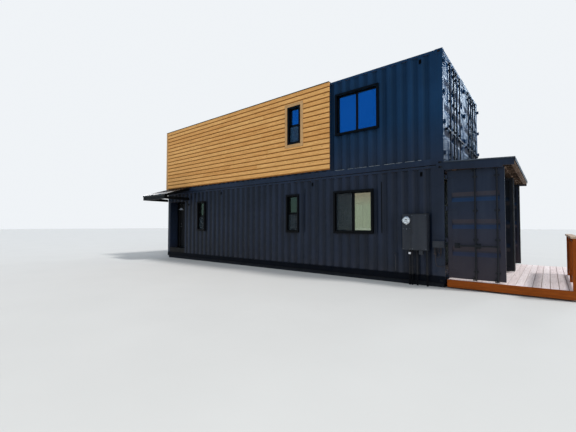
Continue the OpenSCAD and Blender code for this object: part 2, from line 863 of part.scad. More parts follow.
module leaf_rods() {
    translate([leaf_face, leaf_edge, 0]) for (u = [rod_1, rod_2]) translate([0, u, 0]) lock_rod();
}

module opened() {
    translate([-pin_x, pin_y, 0]) rotate([0, 0, 90]) translate([pin_x, -pin_y, 0]) children();
}

// Doors are counted from the entrance wall; the second and fourth hang on the far post of their container
module door_place(k) {
    mirror([0, k > 2 ? 1 : 0, 0]) translate([x_dk, k == 1 || k == 4 ? y_fr : -y_in, 0])
        mirror([1, 0, 0]) mirror([0, k == 1 || k == 4 ? 0 : 1, 0]) children();
}

module upper_doors() {
    color(steel) translate([0, 0, z_up]) for (k = [1:4]) door_place(k) cargo_leaf();
}
module upper_lock_rods() {
    color(steel) translate([0, 0, z_up]) for (k = [1:4]) door_place(k) leaf_rods();
}
module open_door(k) { color(steel) translate([0, 0, z_lo]) door_place(k) opened() cargo_leaf(); }
module open_rods(k) { color(steel) translate([0, 0, z_lo]) door_place(k) opened() leaf_rods(); }
module cargo_door_1() { open_door(1); }
module cargo_door_2() { open_door(2); }
module cargo_door_3() { open_door(3); }
module cargo_door_4() { open_door(4); }
module lock_rods_1() { open_rods(1); }
module lock_rods_2() { open_rods(2); }
module lock_rods_3() { open_rods(3); }
module lock_rods_4() { open_rods(4); }

// Timber cladding of the upper storey: lap boards on battens, round the street end
board_h = (clad_z1 - clad_z0) / board_n;
corner_in = 30;
clad_x0 = x_st + corner_in;
clad_x1 = x_dk - clad_x;

module lap_boards(l) {
    back = board_t / 4;
    top = 0.8 * board_t;
    steps = [for (i = [0:board_n - 1])
        for (p = [[back, 0], [back, board_groove], [board_t, board_groove], [top, board_h]])
            [-p[0], clad_z0 + i * board_h + p[1]]];
    rotate([90, 0, 90]) linear_extrude(l) polygon(concat([[0, clad_z0]], steps, [[0, clad_z1]]));
}

module casing_hole(grow) {
    translate([x_dk - narrow_up_x - narrow_w / 2 - grow, y_fr - past / 2, z_up + win_up_sill - grow])
        cube([narrow_w + 2 * grow, past, win_h + 2 * grow]);
}

module wood_cladding() {
    color(timber) {
        both_sides() difference() {
            translate([clad_x0, y_fr + clad_back, 0]) lap_boards(clad_x1 - clad_x0);
            casing_hole(trim_w);
        }
        translate([x_st + clad_back, y_bk - corner_in, 0]) rotate([0, 0, -90])
            lap_boards(2 * (y_bk - corner_in));
    }
}

module cladding_battens() {
    h = z_up + wall_z1 - clad_z0;
    step = 2 * corr_pitch;
    color(timber) {
        both_sides() for (x = [crest(clad_x0 + step / 2):step:clad_x1])
            if (abs(x - x_dk + narrow_up_x) > narrow_w / 2 + trim_w + corr_flat)
                translate([x - corr_flat / 2, y_fr + clad_back, clad_z0]) cube([corr_flat, batten_t, h]);
        both_sides() for (i = [0:2:floor((end_l - corr_flat) / corr_pitch)])
            translate([x_st + clad_back, inner_y + corr_start(end_l) - corr_flat + i * corr_pitch, clad_z0])
                cube([batten_t, corr_flat, h]);
    }
}

module corner_outline() {
    difference() {
        translate([x_st + trim_face, y_fr + trim_face])
            square([corner_in - trim_face, corner_in - trim_face]);
        translate([x_st, y_fr]) square(past);
    }
}

// Corner boards with a capping board over the cladding, and the casing of the narrow windows
module cladding_trim() {
    lip = 6;
    cap_t = 14;
    cap_in = 40;
    color(timber) {
        both_sides() {
            translate([0, 0, clad_z0 - 12]) linear_extrude(clad_z1 - clad_z0 + 12) corner_outline();
            difference() {
                intersection() {
                    casing_hole(trim_w);
                    translate([x_st, y_fr + trim_face, 0]) cube([box_l, clad_back - trim_face, 2 * z_top]);
                }
                casing_hole(0);
            }
        }
        translate([0, 0, clad_z1]) linear_extrude(cap_t) difference() {
            translate([x_st + trim_face - lip, y_fr + trim_face - lip])
                square([clad_x1 - x_st - trim_face + lip, 2 * (y_bk - trim_face + lip)]);
            translate([x_st + cap_in, y_fr + cap_in]) square([box_l, 2 * (y_bk - cap_in)]);
        }
    }
}

// Deck roof, drawn level with the wall at the origin and the fall towards +X
far_y = 2 * box_w;
roof_w = 2 * (y_bk + board_w);
fascia_end = 210;
fascia_end_h = 145;
purlin_in = 190;

module on_deck_wall() {
    difference() {
        translate([x_dk, 0, z_up + deck_roof_z]) rotate([0, deck_roof_a, 0]) children();
        translate([x_dk - past, -far_y, z_lo]) cube([past, 2 * far_y, 2 * box_h]);
    }
}

// Rafters between ledger and end beam, with a purlin near the end
module deck_rafters() {
    n = round((roof_w - 3 * board_w) / rafter_pitch);
    step = (roof_w - 3 * board_w) / n;
    end_x = deck_roof_l - board_w;
    color(cedar) on_deck_wall() translate([0, board_w - roof_w / 2, -roofing_t - rafter_h]) {
        difference() {
            translate([-board_w, 0, 0]) cube([deck_roof_l, roof_w - 2 * board_w, rafter_h]);
            for (i = [0:n - 1]) translate([board_w, board_w + i * step, -1])
                cube([end_x - rim_w - board_w, step - board_w, rafter_h + 2]);
        }
        translate([end_x - rim_w - purlin_in, 1, rafter_h / 3])
            cube([board_w, roof_w - 2 * board_w - 2, rafter_h / 2]);
    }
}

module deck_fascias() {
    main_l = deck_roof_l - fascia_end;
    color(steel) on_deck_wall() for (s = [0, 1]) mirror([0, s, 0]) {
        translate([-board_w, -roof_w / 2, -fascia_h - roofing_t]) cube([main_l, board_w, fascia_h]);
        translate([-board_w, 1 - roof_w / 2, -fascia_end_h - roofing_t])
            cube([deck_roof_l, board_w - 1, fascia_end_h]);
    }
}

module deck_roofing() {
    drip = 20;
    lip = 60;
    lip_t = 6;
    color("#c8ccd0") on_deck_wall() translate([-board_w, -roof_w / 2 - drip, -roofing_t]) {
        cube([deck_roof_l + drip, roof_w + 2 * drip, roofing_t]);
        translate([deck_roof_l + drip - lip_t, 0, -lip]) cube([lip_t, roof_w + 2 * drip, lip + roofing_t]);
    }
}

// Deck at the deck end, level with the feet of the cargo doors
deck_x0 = x_dk + 40;
deck_top = z_lo + deck_z;
deck_under = deck_top - board_w - joist_h;
deck_pad_in = 200;
deck_pad_x = [deck_x0 + deck_pad_in, deck_x0 + deck_l / 2, deck_x0 + deck_l - deck_pad_in];
joist_n = 2 * round((deck_w - board_w) / rafter_pitch / 2);
joist_step = (deck_w - board_w) / joist_n;
function joist_y(i) = i * joist_step - deck_w / 2;

// Joists in a rim, with ledgers on the containers' sills
module deck_frame() {
    color(cedar) difference() {
        union() {
            translate([deck_x0, -deck_w / 2, deck_under]) cube([deck_l, deck_w, joist_h]);
            both_sides() translate([x_dk - rail_in, inner_y, deck_under])
                cube([deck_x0 - x_dk + rail_in + 1, end_l, joist_h]);
        }
        for (i = [0:joist_n - 1]) translate([deck_x0 + board_w, joist_y(i) + board_w, deck_under - 1])
            cube([deck_l - 2 * board_w, joist_step - board_w, joist_h + 2]);
    }
}

module deck_boards() {
    n = floor((deck_l + plank_gap) / (plank_w + plank_gap));
    step = (deck_l - plank_w) / (n - 1);
    color(planks) for (i = [0:n - 1]) translate([deck_x0 + i * step, -deck_w / 2 - 8, deck_top - board_w])
        cube([plank_w, deck_w + 16, board_w]);
}

module deck_guard() {
    rail_h = 89;
    x = deck_x0 + deck_l - guard_post;
    y0 = -deck_w / 2;
    posts = round(guard_l / 1400);
    picks = round(guard_l / picket_pitch);
    color(cedar) {
        for (i = [0:posts]) translate([x, y0 + i * (guard_l - guard_post) / posts, deck_top])
            cube([guard_post, guard_post, guard_h - board_w]);
        translate([x - 25, y0 - 20, deck_top + guard_h - board_w]) cube([140, guard_l + 40, board_w]);
        for (z = [90, guard_h - board_w - rail_h])
            translate([x + (guard_post - board_w) / 2, y0, deck_top + z]) cube([board_w, guard_l, rail_h]);
        for (i = [1:picks - 1])
            translate([x + guard_post / 2 - board_w / 2 + 1, y0 + i * guard_l / picks - picket_w / 2,
                deck_top + 100]) cube([board_w - 2, picket_w, guard_h - board_w - 110]);
    }
}

// Services on the entrance wall near the deck end
box_y = y_fr + wall_face;

module service_boxes() {
    lid = 14;
    split = 8;
    corner_w = 256;
    corner_gap = 6;
    corner_d = 90;
    color(grey) translate([x_dk - panel_x - panel_w, box_y, z_lo + panel_z]) {
        translate([0, -panel_d, 0]) cube([panel_w, panel_d, panel_h]);
        translate([12, -panel_d - lid, 12]) cube([panel_w - 24, lid, panel_h - 24]);
        translate([-split - meter_w, 30 - panel_d, 0]) cube([meter_w + split, panel_d - 30, panel_h]);
        translate([panel_w + panel_x - corner_w - corner_gap, cast_proud - wall_face - corner_d, 80])
            cube([corner_w, corner_d, 160]);
    }
}

module meter_glass() {
    color("#c4ccd2", 0.6) translate([x_dk - panel_x - panel_w - 8 - meter_w / 2, box_y + 30 - panel_d,
        z_lo + panel_z + panel_h - 160]) rotate([90, 0, 0]) {
            cylinder(r = meter_r + 10, h = 30);
            cylinder(r = meter_r, h = 95);
            translate([0, 0, 95]) cylinder(r = meter_r - 14, h = 16);
        }
}

// Conduits with their place from the boxes' left edge, and two pipes under the small box
conduit_at = [-75, -12, 112, 352];

module conduits() {
    left = x_dk - panel_x - panel_w;
    out = 70;
    run = z_lo + panel_z;
    pipe_r = 11;
    pipe_gap = 90;
    pipe_l = 210;
    color(grey) {
        for (x = conduit_at) translate([left + x, box_y - out, 0]) cylinder(r = conduit_r, h = run);
        for (x = [-pipe_gap, pipe_gap]) translate([x_dk - 137 + x / 2, box_y - 50, run - 130])
            cylinder(r = pipe_r, h = pipe_l);
    }
}

vent_x = [490, 3950, 8450];
upper_vent_x = 560;
vent_drop = 246;

module wall_vents() {
    vent_w = 60;
    vent_h = 110;
    vent_t = 12;
    color(black) both_sides() {
        for (x = vent_x) translate([crest(x_dk - x) - vent_w / 2, box_y - vent_t, z_lo + box_h - vent_drop])
            cube([vent_w, vent_t, vent_h]);
        translate([crest(x_dk - upper_vent_x) - vent_w / 2, box_y - vent_t, z_up + box_h - vent_drop])
            cube([vent_w, vent_t, vent_h]);
    }
}

footing();
lower_posts();
lower_rails();
upper_posts();
upper_rails();
ground_floor();
ground_ceiling();
upper_floor();
upper_roof();
lower_front_wall();
lower_back_wall();
lower_street_wall();
upper_front_wall();
upper_back_wall();
upper_street_wall();
entry_sill();
entry_side_wall();
entry_header();
entry_frame();
entry_lamp();
entry_door();
entry_lever();
porch_frame();
porch_roofing();
window_frames();
window_glass();
patio_frames();
patio_glass();
upper_doors();
upper_lock_rods();
cargo_door_1();
lock_rods_1();
cargo_door_2();
lock_rods_2();
cargo_door_3();
lock_rods_3();
cargo_door_4();
lock_rods_4();
wood_cladding();
cladding_battens();
cladding_trim();
deck_rafters();
deck_fascias();
deck_roofing();
deck_frame();
deck_boards();
deck_guard();
service_boxes();
meter_glass();
conduits();
wall_vents();
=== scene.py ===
"""Looks of the two-storey container cabin: paint, timber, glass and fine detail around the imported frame."""
import json
import math
import random
from itertools import product

import bmesh
import bpy
from mathutils import Matrix, Vector


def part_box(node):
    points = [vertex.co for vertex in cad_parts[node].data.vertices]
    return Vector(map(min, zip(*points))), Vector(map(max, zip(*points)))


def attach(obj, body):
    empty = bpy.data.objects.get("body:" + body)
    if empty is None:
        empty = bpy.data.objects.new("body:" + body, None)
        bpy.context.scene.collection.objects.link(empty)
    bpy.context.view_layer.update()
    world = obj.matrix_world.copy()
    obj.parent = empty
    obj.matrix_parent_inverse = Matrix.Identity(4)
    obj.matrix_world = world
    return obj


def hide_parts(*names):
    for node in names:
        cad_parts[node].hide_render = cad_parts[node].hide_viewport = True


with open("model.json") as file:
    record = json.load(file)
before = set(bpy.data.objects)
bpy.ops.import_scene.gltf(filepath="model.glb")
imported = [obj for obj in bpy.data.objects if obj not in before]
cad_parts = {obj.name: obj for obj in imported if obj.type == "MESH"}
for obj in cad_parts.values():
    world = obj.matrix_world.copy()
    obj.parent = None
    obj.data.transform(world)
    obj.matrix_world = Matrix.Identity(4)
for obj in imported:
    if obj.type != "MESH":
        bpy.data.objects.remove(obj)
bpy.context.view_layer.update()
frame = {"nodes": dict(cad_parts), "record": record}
nodes = frame["nodes"]
rng = random.Random(11)
HOUSE = "house"

# Places that the CAD source sets, in metres
X_DECK, X_STREET = 6.096, -6.096
Y_SIDE, Y_MID = 2.448, 0.010
Z_LOW, Z_UP = 0.100, 2.996
BOX_H = 2.896
WALL_FACE = 0.010
WALL_Y = Y_SIDE - WALL_FACE
LINING_X, LINING_Y = 5.92, 2.29
CLAD_X = 2.886
CLAD_Z0, CLAD_Z1 = Z_UP + 0.215, Z_UP + BOX_H + 0.014
BOARD_COUNT = 17
BOARD_H = (CLAD_Z1 - CLAD_Z0) / BOARD_COUNT
UP, FRONT = (0, 0, 1), (0, -1, 0)

# Where colours change: the storeys, with painted sky light upstairs; the roof; the bottom rail, in painted shade;
# the valleys of the walls, in painted shade; the open leaves, with painted ground bounce and shade; the alcove
UPSTAIRS, SKY_BLUE_Z, ROOF_Z = (3.0, 3.2), (2.9, 4.3), 5.845
RAIL_SHADE_Z, VALLEY_Y = (0.29, 0.262), (2.434, 2.406)
LEAF_X, LEAF_TOP, LEAF_OUTER = (6.1, 6.16), 2.9, 1.2
ALCOVE_X, ALCOVE_Y = -4.62, -1.93


# Materials

def srgb(text, factor=1.0):
    """A linear colour from six hex digits, made darker or lighter by factor."""
    parts = [int(text[i:i + 2], 16) / 255 for i in (0, 2, 4)]
    return tuple(factor * (c / 12.92 if c <= 0.04045 else ((c + 0.055) / 1.055) ** 2.4) for c in parts)


class Nodes:
    """A node tree and short ways to fill it."""

    def __init__(self, tree):
        self.tree = tree

    def put(self, node, key, value):
        """Links an input, or sets its own value; six hex digits are a colour."""
        if isinstance(value, bpy.types.NodeSocket):
            self.tree.links.new(value, node.inputs[key])
        else:
            node.inputs[key].default_value = (*srgb(value), 1) if isinstance(value, str) else value

    def set(self, node, values):
        for key, value in values.items():
            name = key.replace("_", " ")
            if name in node.inputs:
                self.put(node, name, value)
            else:
                setattr(node, key, value)

    def add(self, kind, **values):
        node = self.tree.nodes.new(kind)
        self.set(node, values)
        return node

    def join(self, kind, *inputs, **values):
        """The first output of a node whose inputs are given in order."""
        node = self.add(kind, **values)
        for key, value in enumerate(inputs):
            self.put(node, key, value)
        return node.outputs[0]


class Shader(Nodes):
    """A Principled material and the small node chains that feed it."""

    def __init__(self, name, **values):
        self.material = bpy.data.materials.new(name)
        self.material.use_nodes = True
        super().__init__(self.material.node_tree)
        self.bsdf = self.tree.nodes["Principled BSDF"]
        self.surface(**values)
        self.coord = self.add("ShaderNodeTexCoord").outputs["Object"]

    def surface(self, **values):
        self.set(self.bsdf, values)
        return self.material

    def stretch(self, scale):
        return self.add("ShaderNodeMapping", Vector=self.coord, Scale=scale).outputs["Vector"]

    def noise(self, scale, stretch=(1, 1, 1), detail=4.0, rough=0.55, distortion=0.0):
        return self.add("ShaderNodeTexNoise", Vector=self.stretch(stretch), Scale=scale, Detail=detail,
                        Roughness=rough, Distortion=distortion).outputs["Fac"]

    def ramp(self, source, low, high, out_low=0.0, out_high=1.0):
        return self.add("ShaderNodeMapRange", clamp=True, Value=source, From_Min=low, From_Max=high,
                        To_Min=out_low, To_Max=out_high).outputs["Result"]

    def mix(self, factor, first, second):
        node = self.add("ShaderNodeMix", data_type="RGBA")
        self.put(node, 0, factor)
        for key, value in ((6, first), (7, second)):
            self.put(node, key, (*value, 1) if isinstance(value, tuple) else value)
        return node.outputs[2]

    def math(self, operation, first, second=0.0):
        return self.join("ShaderNodeMath", first, second, operation=operation)

    def times(self, first, *others):
        for other in others:
            first = self.math("MULTIPLY", first, other)
        return first

    def axis(self, letter, source=None):
        return self.add("ShaderNodeSeparateXYZ", Vector=source or self.coord).outputs[letter]

    def along(self, letter, *limits):
        """A ramp along one coordinate."""
        return self.ramp(self.axis(letter), *limits)

    def beyond(self, letter, low):
        return self.math("GREATER_THAN", self.axis(letter), low)

    def below(self, letter, high):
        return self.math("LESS_THAN", self.axis(letter), high)

    def between(self, letter, low, high):
        return self.times(self.beyond(letter, low), self.below(letter, high))

    def bump(self, height, strength, distance, **under):
        return self.add("ShaderNodeBump", Height=height, Strength=strength, Distance=distance,
                        **under).outputs["Normal"]


def paint(name, shade, light, dark, dust=0.1, rough=0.45, lined=False, sky_blue=None, shine=0.5):
    """Satin paint on steel: faded patches, rain streaks, dust near the ground and a slightly dimpled skin.

    Upstairs it can be a deeper blue with a bluish sheen: painted sky light. The bottom rail is darker and duller:
    painted shade. Lined paint also has painted sky light on ledges and other faces that look up, painted warm ground
    bounce on undersides, painted shade in the valleys, painted ground bounce low on the outer open leaves, painted
    shade on the inner leaves, and the white lining of the rooms.
    """
    s = Shader(name, Specular_IOR_Level=shine)
    if sky_blue:
        # Painted sky light: upstairs the steel is a deeper blue and its sheen bluish.
        upper = s.along("Z", *SKY_BLUE_Z)
        s.surface(Specular_Tint=s.mix(upper, (1, 1, 1), (0.4, 0.75, 1)))
        shade = s.mix(upper, shade, sky_blue)
        dark = s.mix(upper, dark, srgb(sky_blue, 0.75))
        light = s.mix(upper, light, srgb(sky_blue, 1.35))
    colour = s.mix(s.ramp(s.noise(0.9, detail=3), 0.38, 0.66), dark, shade)
    if lined:
        roof = s.beyond("Z", ROOF_Z)
        facing = s.axis("Z", s.add("ShaderNodeTexCoord").outputs["Normal"])
        # Painted sky light: faces that look up turn pale blue below the roof and pale grey on the roof.
        sky_sheen = s.mix(roof, (0.55,) * 3, s.ramp(s.noise(1.3, detail=6), 0.35, 0.7, 0.2, 0.7))
        sky_sheen = s.times(s.ramp(facing, 0.15, 0.6), sky_sheen)
        colour = s.mix(sky_sheen, colour, s.mix(roof, "24507e", "4c5258"))
        # Painted ground bounce: faces that look down turn warm.
        colour = s.mix(s.ramp(facing, -0.15, -0.6, 0, 0.45), colour, "5a4640")
    streaks = s.ramp(s.noise(1.0, (9, 9, 0.5), detail=5), 0.5, 0.78, 0, 0.45)
    colour = s.mix(streaks, colour, light)
    specks = s.ramp(s.noise(38, detail=6), 0.62, 0.74, 0, 0.25)
    colour = s.mix(specks, colour, light)
    height = s.along("Z", 0.05, 0.95, 1, 0)
    dusty = s.times(height, height, s.ramp(s.noise(5, detail=6), 0.3, 0.7, dust, 1), dust)
    colour = s.mix(dusty, colour, "9a8674")
    # Painted shade: the bottom rail is made near black, with less sheen.
    foot = s.times(s.along("Z", *RAIL_SHADE_Z), s.below("X", LEAF_X[0]))
    colour = s.mix(s.times(foot, 0.85), colour, "04070c")
    s.surface(Specular_IOR_Level=s.ramp(foot, 0, 1, shine, 0.15 * shine))
    if lined:
        from_middle = s.math("ABSOLUTE", s.axis("Y"))
        # Painted shade in the corrugation valleys, stronger towards the street end and a little weaker upstairs.
        valley_shade = s.times(s.ramp(from_middle, *VALLEY_Y), s.between("X", -5.9, 5.9), s.between("Z", 0.2, 5.8))
        valley_shade = s.times(valley_shade, s.along("X", 2, -4.0, 0.42, 0.9), s.along("Z", 2.9, 3.1, 1, 0.85))
        colour = s.mix(valley_shade, colour, "04080f")
        # Painted ground bounce low on the outer open cargo leaves, and painted shade on the inner leaves.
        leaves = s.times(s.along("X", *LEAF_X), s.below("Z", LEAF_TOP))
        outer = s.math("GREATER_THAN", from_middle, LEAF_OUTER)
        colour = s.mix(s.times(leaves, outer, s.along("Z", 1.9, 0.4, 0, 0.65)), colour, "382d31")
        colour = s.mix(s.times(leaves, s.math("SUBTRACT", 0.6, outer)), colour, "04070b")
        alcove = s.times(s.below("X", ALCOVE_X), s.below("Y", ALCOVE_Y))
        outside = s.math("MAXIMUM", alcove, roof)
        inside = s.times(s.between("Y", -LINING_Y, LINING_Y), s.between("X", -LINING_X, LINING_X))
        colour = s.mix(s.times(inside, s.math("SUBTRACT", 1.0, outside)), colour, "dedad2")
    skin = s.bump(s.noise(160, detail=2), 0.12, 0.0006)
    return s.surface(Base_Color=colour, Roughness=s.ramp(s.noise(7, detail=5), 0.3, 0.7, rough - 0.08, rough + 0.12),
                     Normal=s.bump(s.noise(3.5, detail=2), 0.06, 0.002, Normal=skin))


def wood(name, tones, along="X", gloss=0.7, worn=0.0, knot=2.4, vary=1.0, groove_shade=False):
    """Boards with grain, knots and a tone of their own, kept on the mesh as the attribute tone.

    The tones are a middle, a light and a dark one. Groove shade is painted shade in the shadow gap at the foot of
    every course and on the lowest part of the board above it.
    """
    shade, light, dark = tones
    s = Shader(name, Specular_IOR_Level=0.12)
    place = "XYZ".index(along)
    squeeze, knot_squeeze = [14.0] * 3, [4.0] * 3
    squeeze[place], knot_squeeze[place] = 0.9, 1.0
    tone = s.add("ShaderNodeAttribute", attribute_name="tone").outputs["Fac"]
    grain = s.noise(2.2, squeeze, detail=8, rough=0.62, distortion=0.6)
    fine = s.noise(9, squeeze, detail=4, rough=0.7)
    colour = s.mix(s.ramp(grain, 0.3, 0.68), dark, shade)
    colour = s.mix(s.ramp(fine, 0.46, 0.74, 0, 0.6), colour, light)
    colour = s.mix(s.ramp(tone, 0, 1, 0.0, 0.75 * vary), colour, s.mix(0.5, colour, light))
    colour = s.mix(s.ramp(tone, 0.45, 0.0, 0.0, 0.5 * vary), colour, dark)
    knots = s.add("ShaderNodeTexVoronoi", Vector=s.stretch(knot_squeeze), Scale=knot).outputs["Distance"]
    colour = s.mix(s.ramp(knots, 0.11, 0.035, 0, 0.8), colour, srgb(dark, 0.3))
    if worn:
        colour = s.mix(s.ramp(s.noise(1.7, detail=5), 0.42, 0.7, 0, worn), colour, "b0a096")
    if groove_shade:
        # Painted shade: near black in the groove and the board's foot, a darker tone fading above it.
        course = s.math("MODULO", s.math("SUBTRACT", s.axis("Z"), CLAD_Z0), BOARD_H)
        colour = s.mix(s.ramp(course, 0.036, 0.030, 0, 0.96), colour, srgb(dark, 0.16))
        colour = s.mix(s.ramp(course, 0.060, 0.031, 0, 0.55), colour, dark)
    return s.surface(Base_Color=colour, Roughness=s.ramp(fine, 0.3, 0.7, gloss - 0.1, gloss + 0.12),
                     Normal=s.bump(grain, 0.3, 0.003, Normal=s.bump(fine, 0.35, 0.0012)))


def glazing():
    """Coated glass that mirrors strongly, with a faint ripple.

    Its colours are painted reflections: sky blue upstairs, warm towards the top of the wide lower panes, dark green
    in the narrow lower panes and pale grey-green at the deck end.
    """
    s = Shader("window_glass", Metallic=0.35, Roughness=0.03, IOR=2.3, Transmission_Weight=0.9,
               Specular_IOR_Level=1.0)
    # Masks for the painted reflections: sky upstairs, dark green in the narrow lower panes.
    sky_upstairs, green_reflection = s.along("Z", *UPSTAIRS), s.along("X", 2.62, 2.58)
    low = s.mix(s.along("Z", 2.05, 2.4, 0, 0.5), "c0ccb4", "cc9a6c")
    low = s.mix(s.along("X", 5.7, 5.8), low, "a8b4b0")
    colour = s.mix(sky_upstairs, s.mix(green_reflection, low, "4c5f58"), "3c90d4")
    tint = s.mix(sky_upstairs, s.mix(green_reflection, "f4ffe4", "6f918c"), (0.06, 0.5, 1.0))
    return s.surface(Base_Color=colour, Specular_Tint=tint, Normal=s.bump(s.noise(1.1, detail=1), 0.05, 0.004))


def plain(name, shade, second, rough, scale=4.0, grain=(1, 1, 1), lift=0.001, edge=None, **values):
    """A quiet surface: two close shades, uneven roughness and a light texture.

    Where edge is given, the deck end takes that dark colour as painted shade.
    """
    s = Shader(name, **values)
    colour = s.mix(s.ramp(s.noise(scale, grain, detail=6), 0.35, 0.65), shade, second)
    # Painted shade at the deck end.
    if edge:
        colour = s.mix(s.along("X", 5.90, 5.92), colour, edge)
    return s.surface(Base_Color=colour, Roughness=s.ramp(s.noise(scale * 3), 0.3, 0.7, rough - 0.07, rough + 0.1),
                     Normal=s.bump(s.noise(scale * 12, grain, detail=3), 0.3, lift))


def screen():
    """Insect screen: a dark weave that lets most light through."""
    s = Shader("insect_screen", Roughness=0.6)
    weave, cross = (s.add("ShaderNodeTexWave", wave_type="BANDS", bands_direction=letter, Vector=s.coord,
                          Scale=90.0).outputs["Fac"] for letter in "XZ")
    wires = s.math("MAXIMUM", weave, cross)
    # Painted sky light: the screens upstairs are bluer.
    colour = s.mix(s.along("Z", *UPSTAIRS), s.mix(wires, "0e181e", "1c2c36"), s.mix(wires, "0e2c44", "1c4868"))
    return s.surface(Base_Color=colour, Alpha=s.ramp(wires, 0, 1, 0.35, 0.7))


# Steel paint; its deeper blue upstairs is painted sky light.
STEEL = paint("steel_paint", "1a2539", "283445", "131d2d", lined=True, sky_blue="143150", shine=0.3)
RODS = paint("rod_paint", "0b0f16", "171d26", "080b10", shine=0.3)
BLACK = paint("black_paint", "050608", "0d0f12", "030405", dust=0.05, rough=0.42, shine=0.12)
GREY = paint("service_paint", "23272f", "31363e", "1c2027", dust=0.15, rough=0.5)
DOOR = paint("door_paint", "121417", "24272b", "0c0e10", rough=0.42)
PORCH = paint("porch_sheet", "14161a", "2a2b2e", "0c0e11", rough=0.2, shine=0.6)
TAN_TONES = ("efb26c", "ffd68e", "c08342")
TAN = wood("tan_boards", TAN_TONES, vary=0.45, groove_shade=True)
TAN_ACROSS = wood("tan_boards_across", TAN_TONES, "Y", vary=0.45, groove_shade=True)
TRIM_TONES = ("cca272", "e0bd8c", "ad8252")
TRIM_UP = wood("trim_boards_up", TRIM_TONES, "Z", vary=0.5)
TRIM_LONG = wood("trim_boards", TRIM_TONES, vary=0.5)
CEDAR_TONES = ("8c3d0a", "ab5f20", "5a2204")
CEDAR = wood("cedar", CEDAR_TONES, knot=3.2)
CEDAR_ACROSS = wood("cedar_across", CEDAR_TONES, "Y", knot=3.2)
CEDAR_UP = wood("cedar_up", CEDAR_TONES, "Z", knot=3.2)
CAP = wood("guard_cap", ("b89e86", "cdb7a2", "94765a"), "Y", gloss=0.75, worn=0.3)
RAFTER_TONES = ("6e5a4c", "96806e", "4c3e34")
RAFTER = wood("rafter_wood", RAFTER_TONES)
RAFTER_ACROSS = wood("rafter_wood_across", RAFTER_TONES, "Y")
PLANK = wood("deck_plank", ("f2e2df", "fffafa", "cfbab5"), "Y", gloss=0.75, vary=0.45)
GLASS = glazing()
DOME = plain("meter_dome_glass", "f4f8fa", "ecf2f5", 0.05, 3, Transmission_Weight=0.95, IOR=1.2)
BRIGHT = plain("bright_ring", "e8eaec", "c9cdd1", 0.25, 30, Metallic=0.5)
METAL = plain("satin_steel", "b4b6b8", "8d9093", 0.3, 30, (1, 1, 12), Metallic=1.0)
CABLE = plain("cable_sheath", "3a2c26", "241c19", 0.55, 18)
WHITE = plain("white_enamel", "fafbff", "eceff5", 0.35, 9)
# Near-black footing: painted shade under the containers.
SHADED_FOOTING = plain("footing_painted_shade", "0d1117", "090c10", 0.85, 3, lift=0.004)
# The floor's dark end by the cargo doors is painted shade.
FLOOR = plain("boarded_floor", "9b7d58", "7f6444", 0.5, 3, (0.6, 9, 9), edge="0d1118")
LINING = plain("white_lining", "dedbd4", "d2cec6", 0.75, 2)
ROOF = plain("roof_sheet", "3c4248", "2f353b", 0.42, 1.6, lift=0.002)
RUBBER = plain("door_gasket", "0e0f10", "191a1b", 0.75, 20)
# Pale grey for the painted highlight along the rail ledge.
LEDGE_HIGHLIGHT = plain("ledge_highlight_paint", "8d9598", "6b7275", 0.7, 40)
SHADE = plain("galvanised_shade", "a9adb0", "8f9497", 0.4, 14, Metallic=0.6)
SCREEN = screen()

by_material = {
    "steel": STEEL, "black_metal": BLACK, "door_paint": DOOR, "bare_metal": METAL, "glass": GLASS, "timber": TAN,
    "cedar": CEDAR, "planks": PLANK, "roof_metal": ROOF, "grey_metal": GREY, "floor": FLOOR, "lining": LINING,
    "concrete": SHADED_FOOTING,
}
for part in frame["record"]["subparts"]:
    mesh = nodes[part["node"]].data
    mesh.materials.clear()
    mesh.materials.append(by_material[part["material_slot"]])
nodes["porch_roofing"].data.materials[0] = PORCH
for rods in ("upper_lock_rods", "lock_rods_1", "lock_rods_2", "lock_rods_3", "lock_rods_4", "conduits"):
    nodes[rods].data.materials[0] = RODS


# Meshes

def circle(radius, sides):
    turns = [2 * math.pi * k / sides for k in range(sides)]
    return [(radius * math.cos(turn), radius * math.sin(turn)) for turn in turns]


def border(u0, v0, u1, v1, left, right, foot, head):
    """Low and high corners of the four bars that line a rectangle."""
    return (((u0, v0), (u0 + left, v1)), ((u1 - right, v0), (u1, v1)),
            ((u0 + left, v0), (u1 - right, v0 + foot)), ((u0 + left, v1 - head), (u1 - right, v1)))


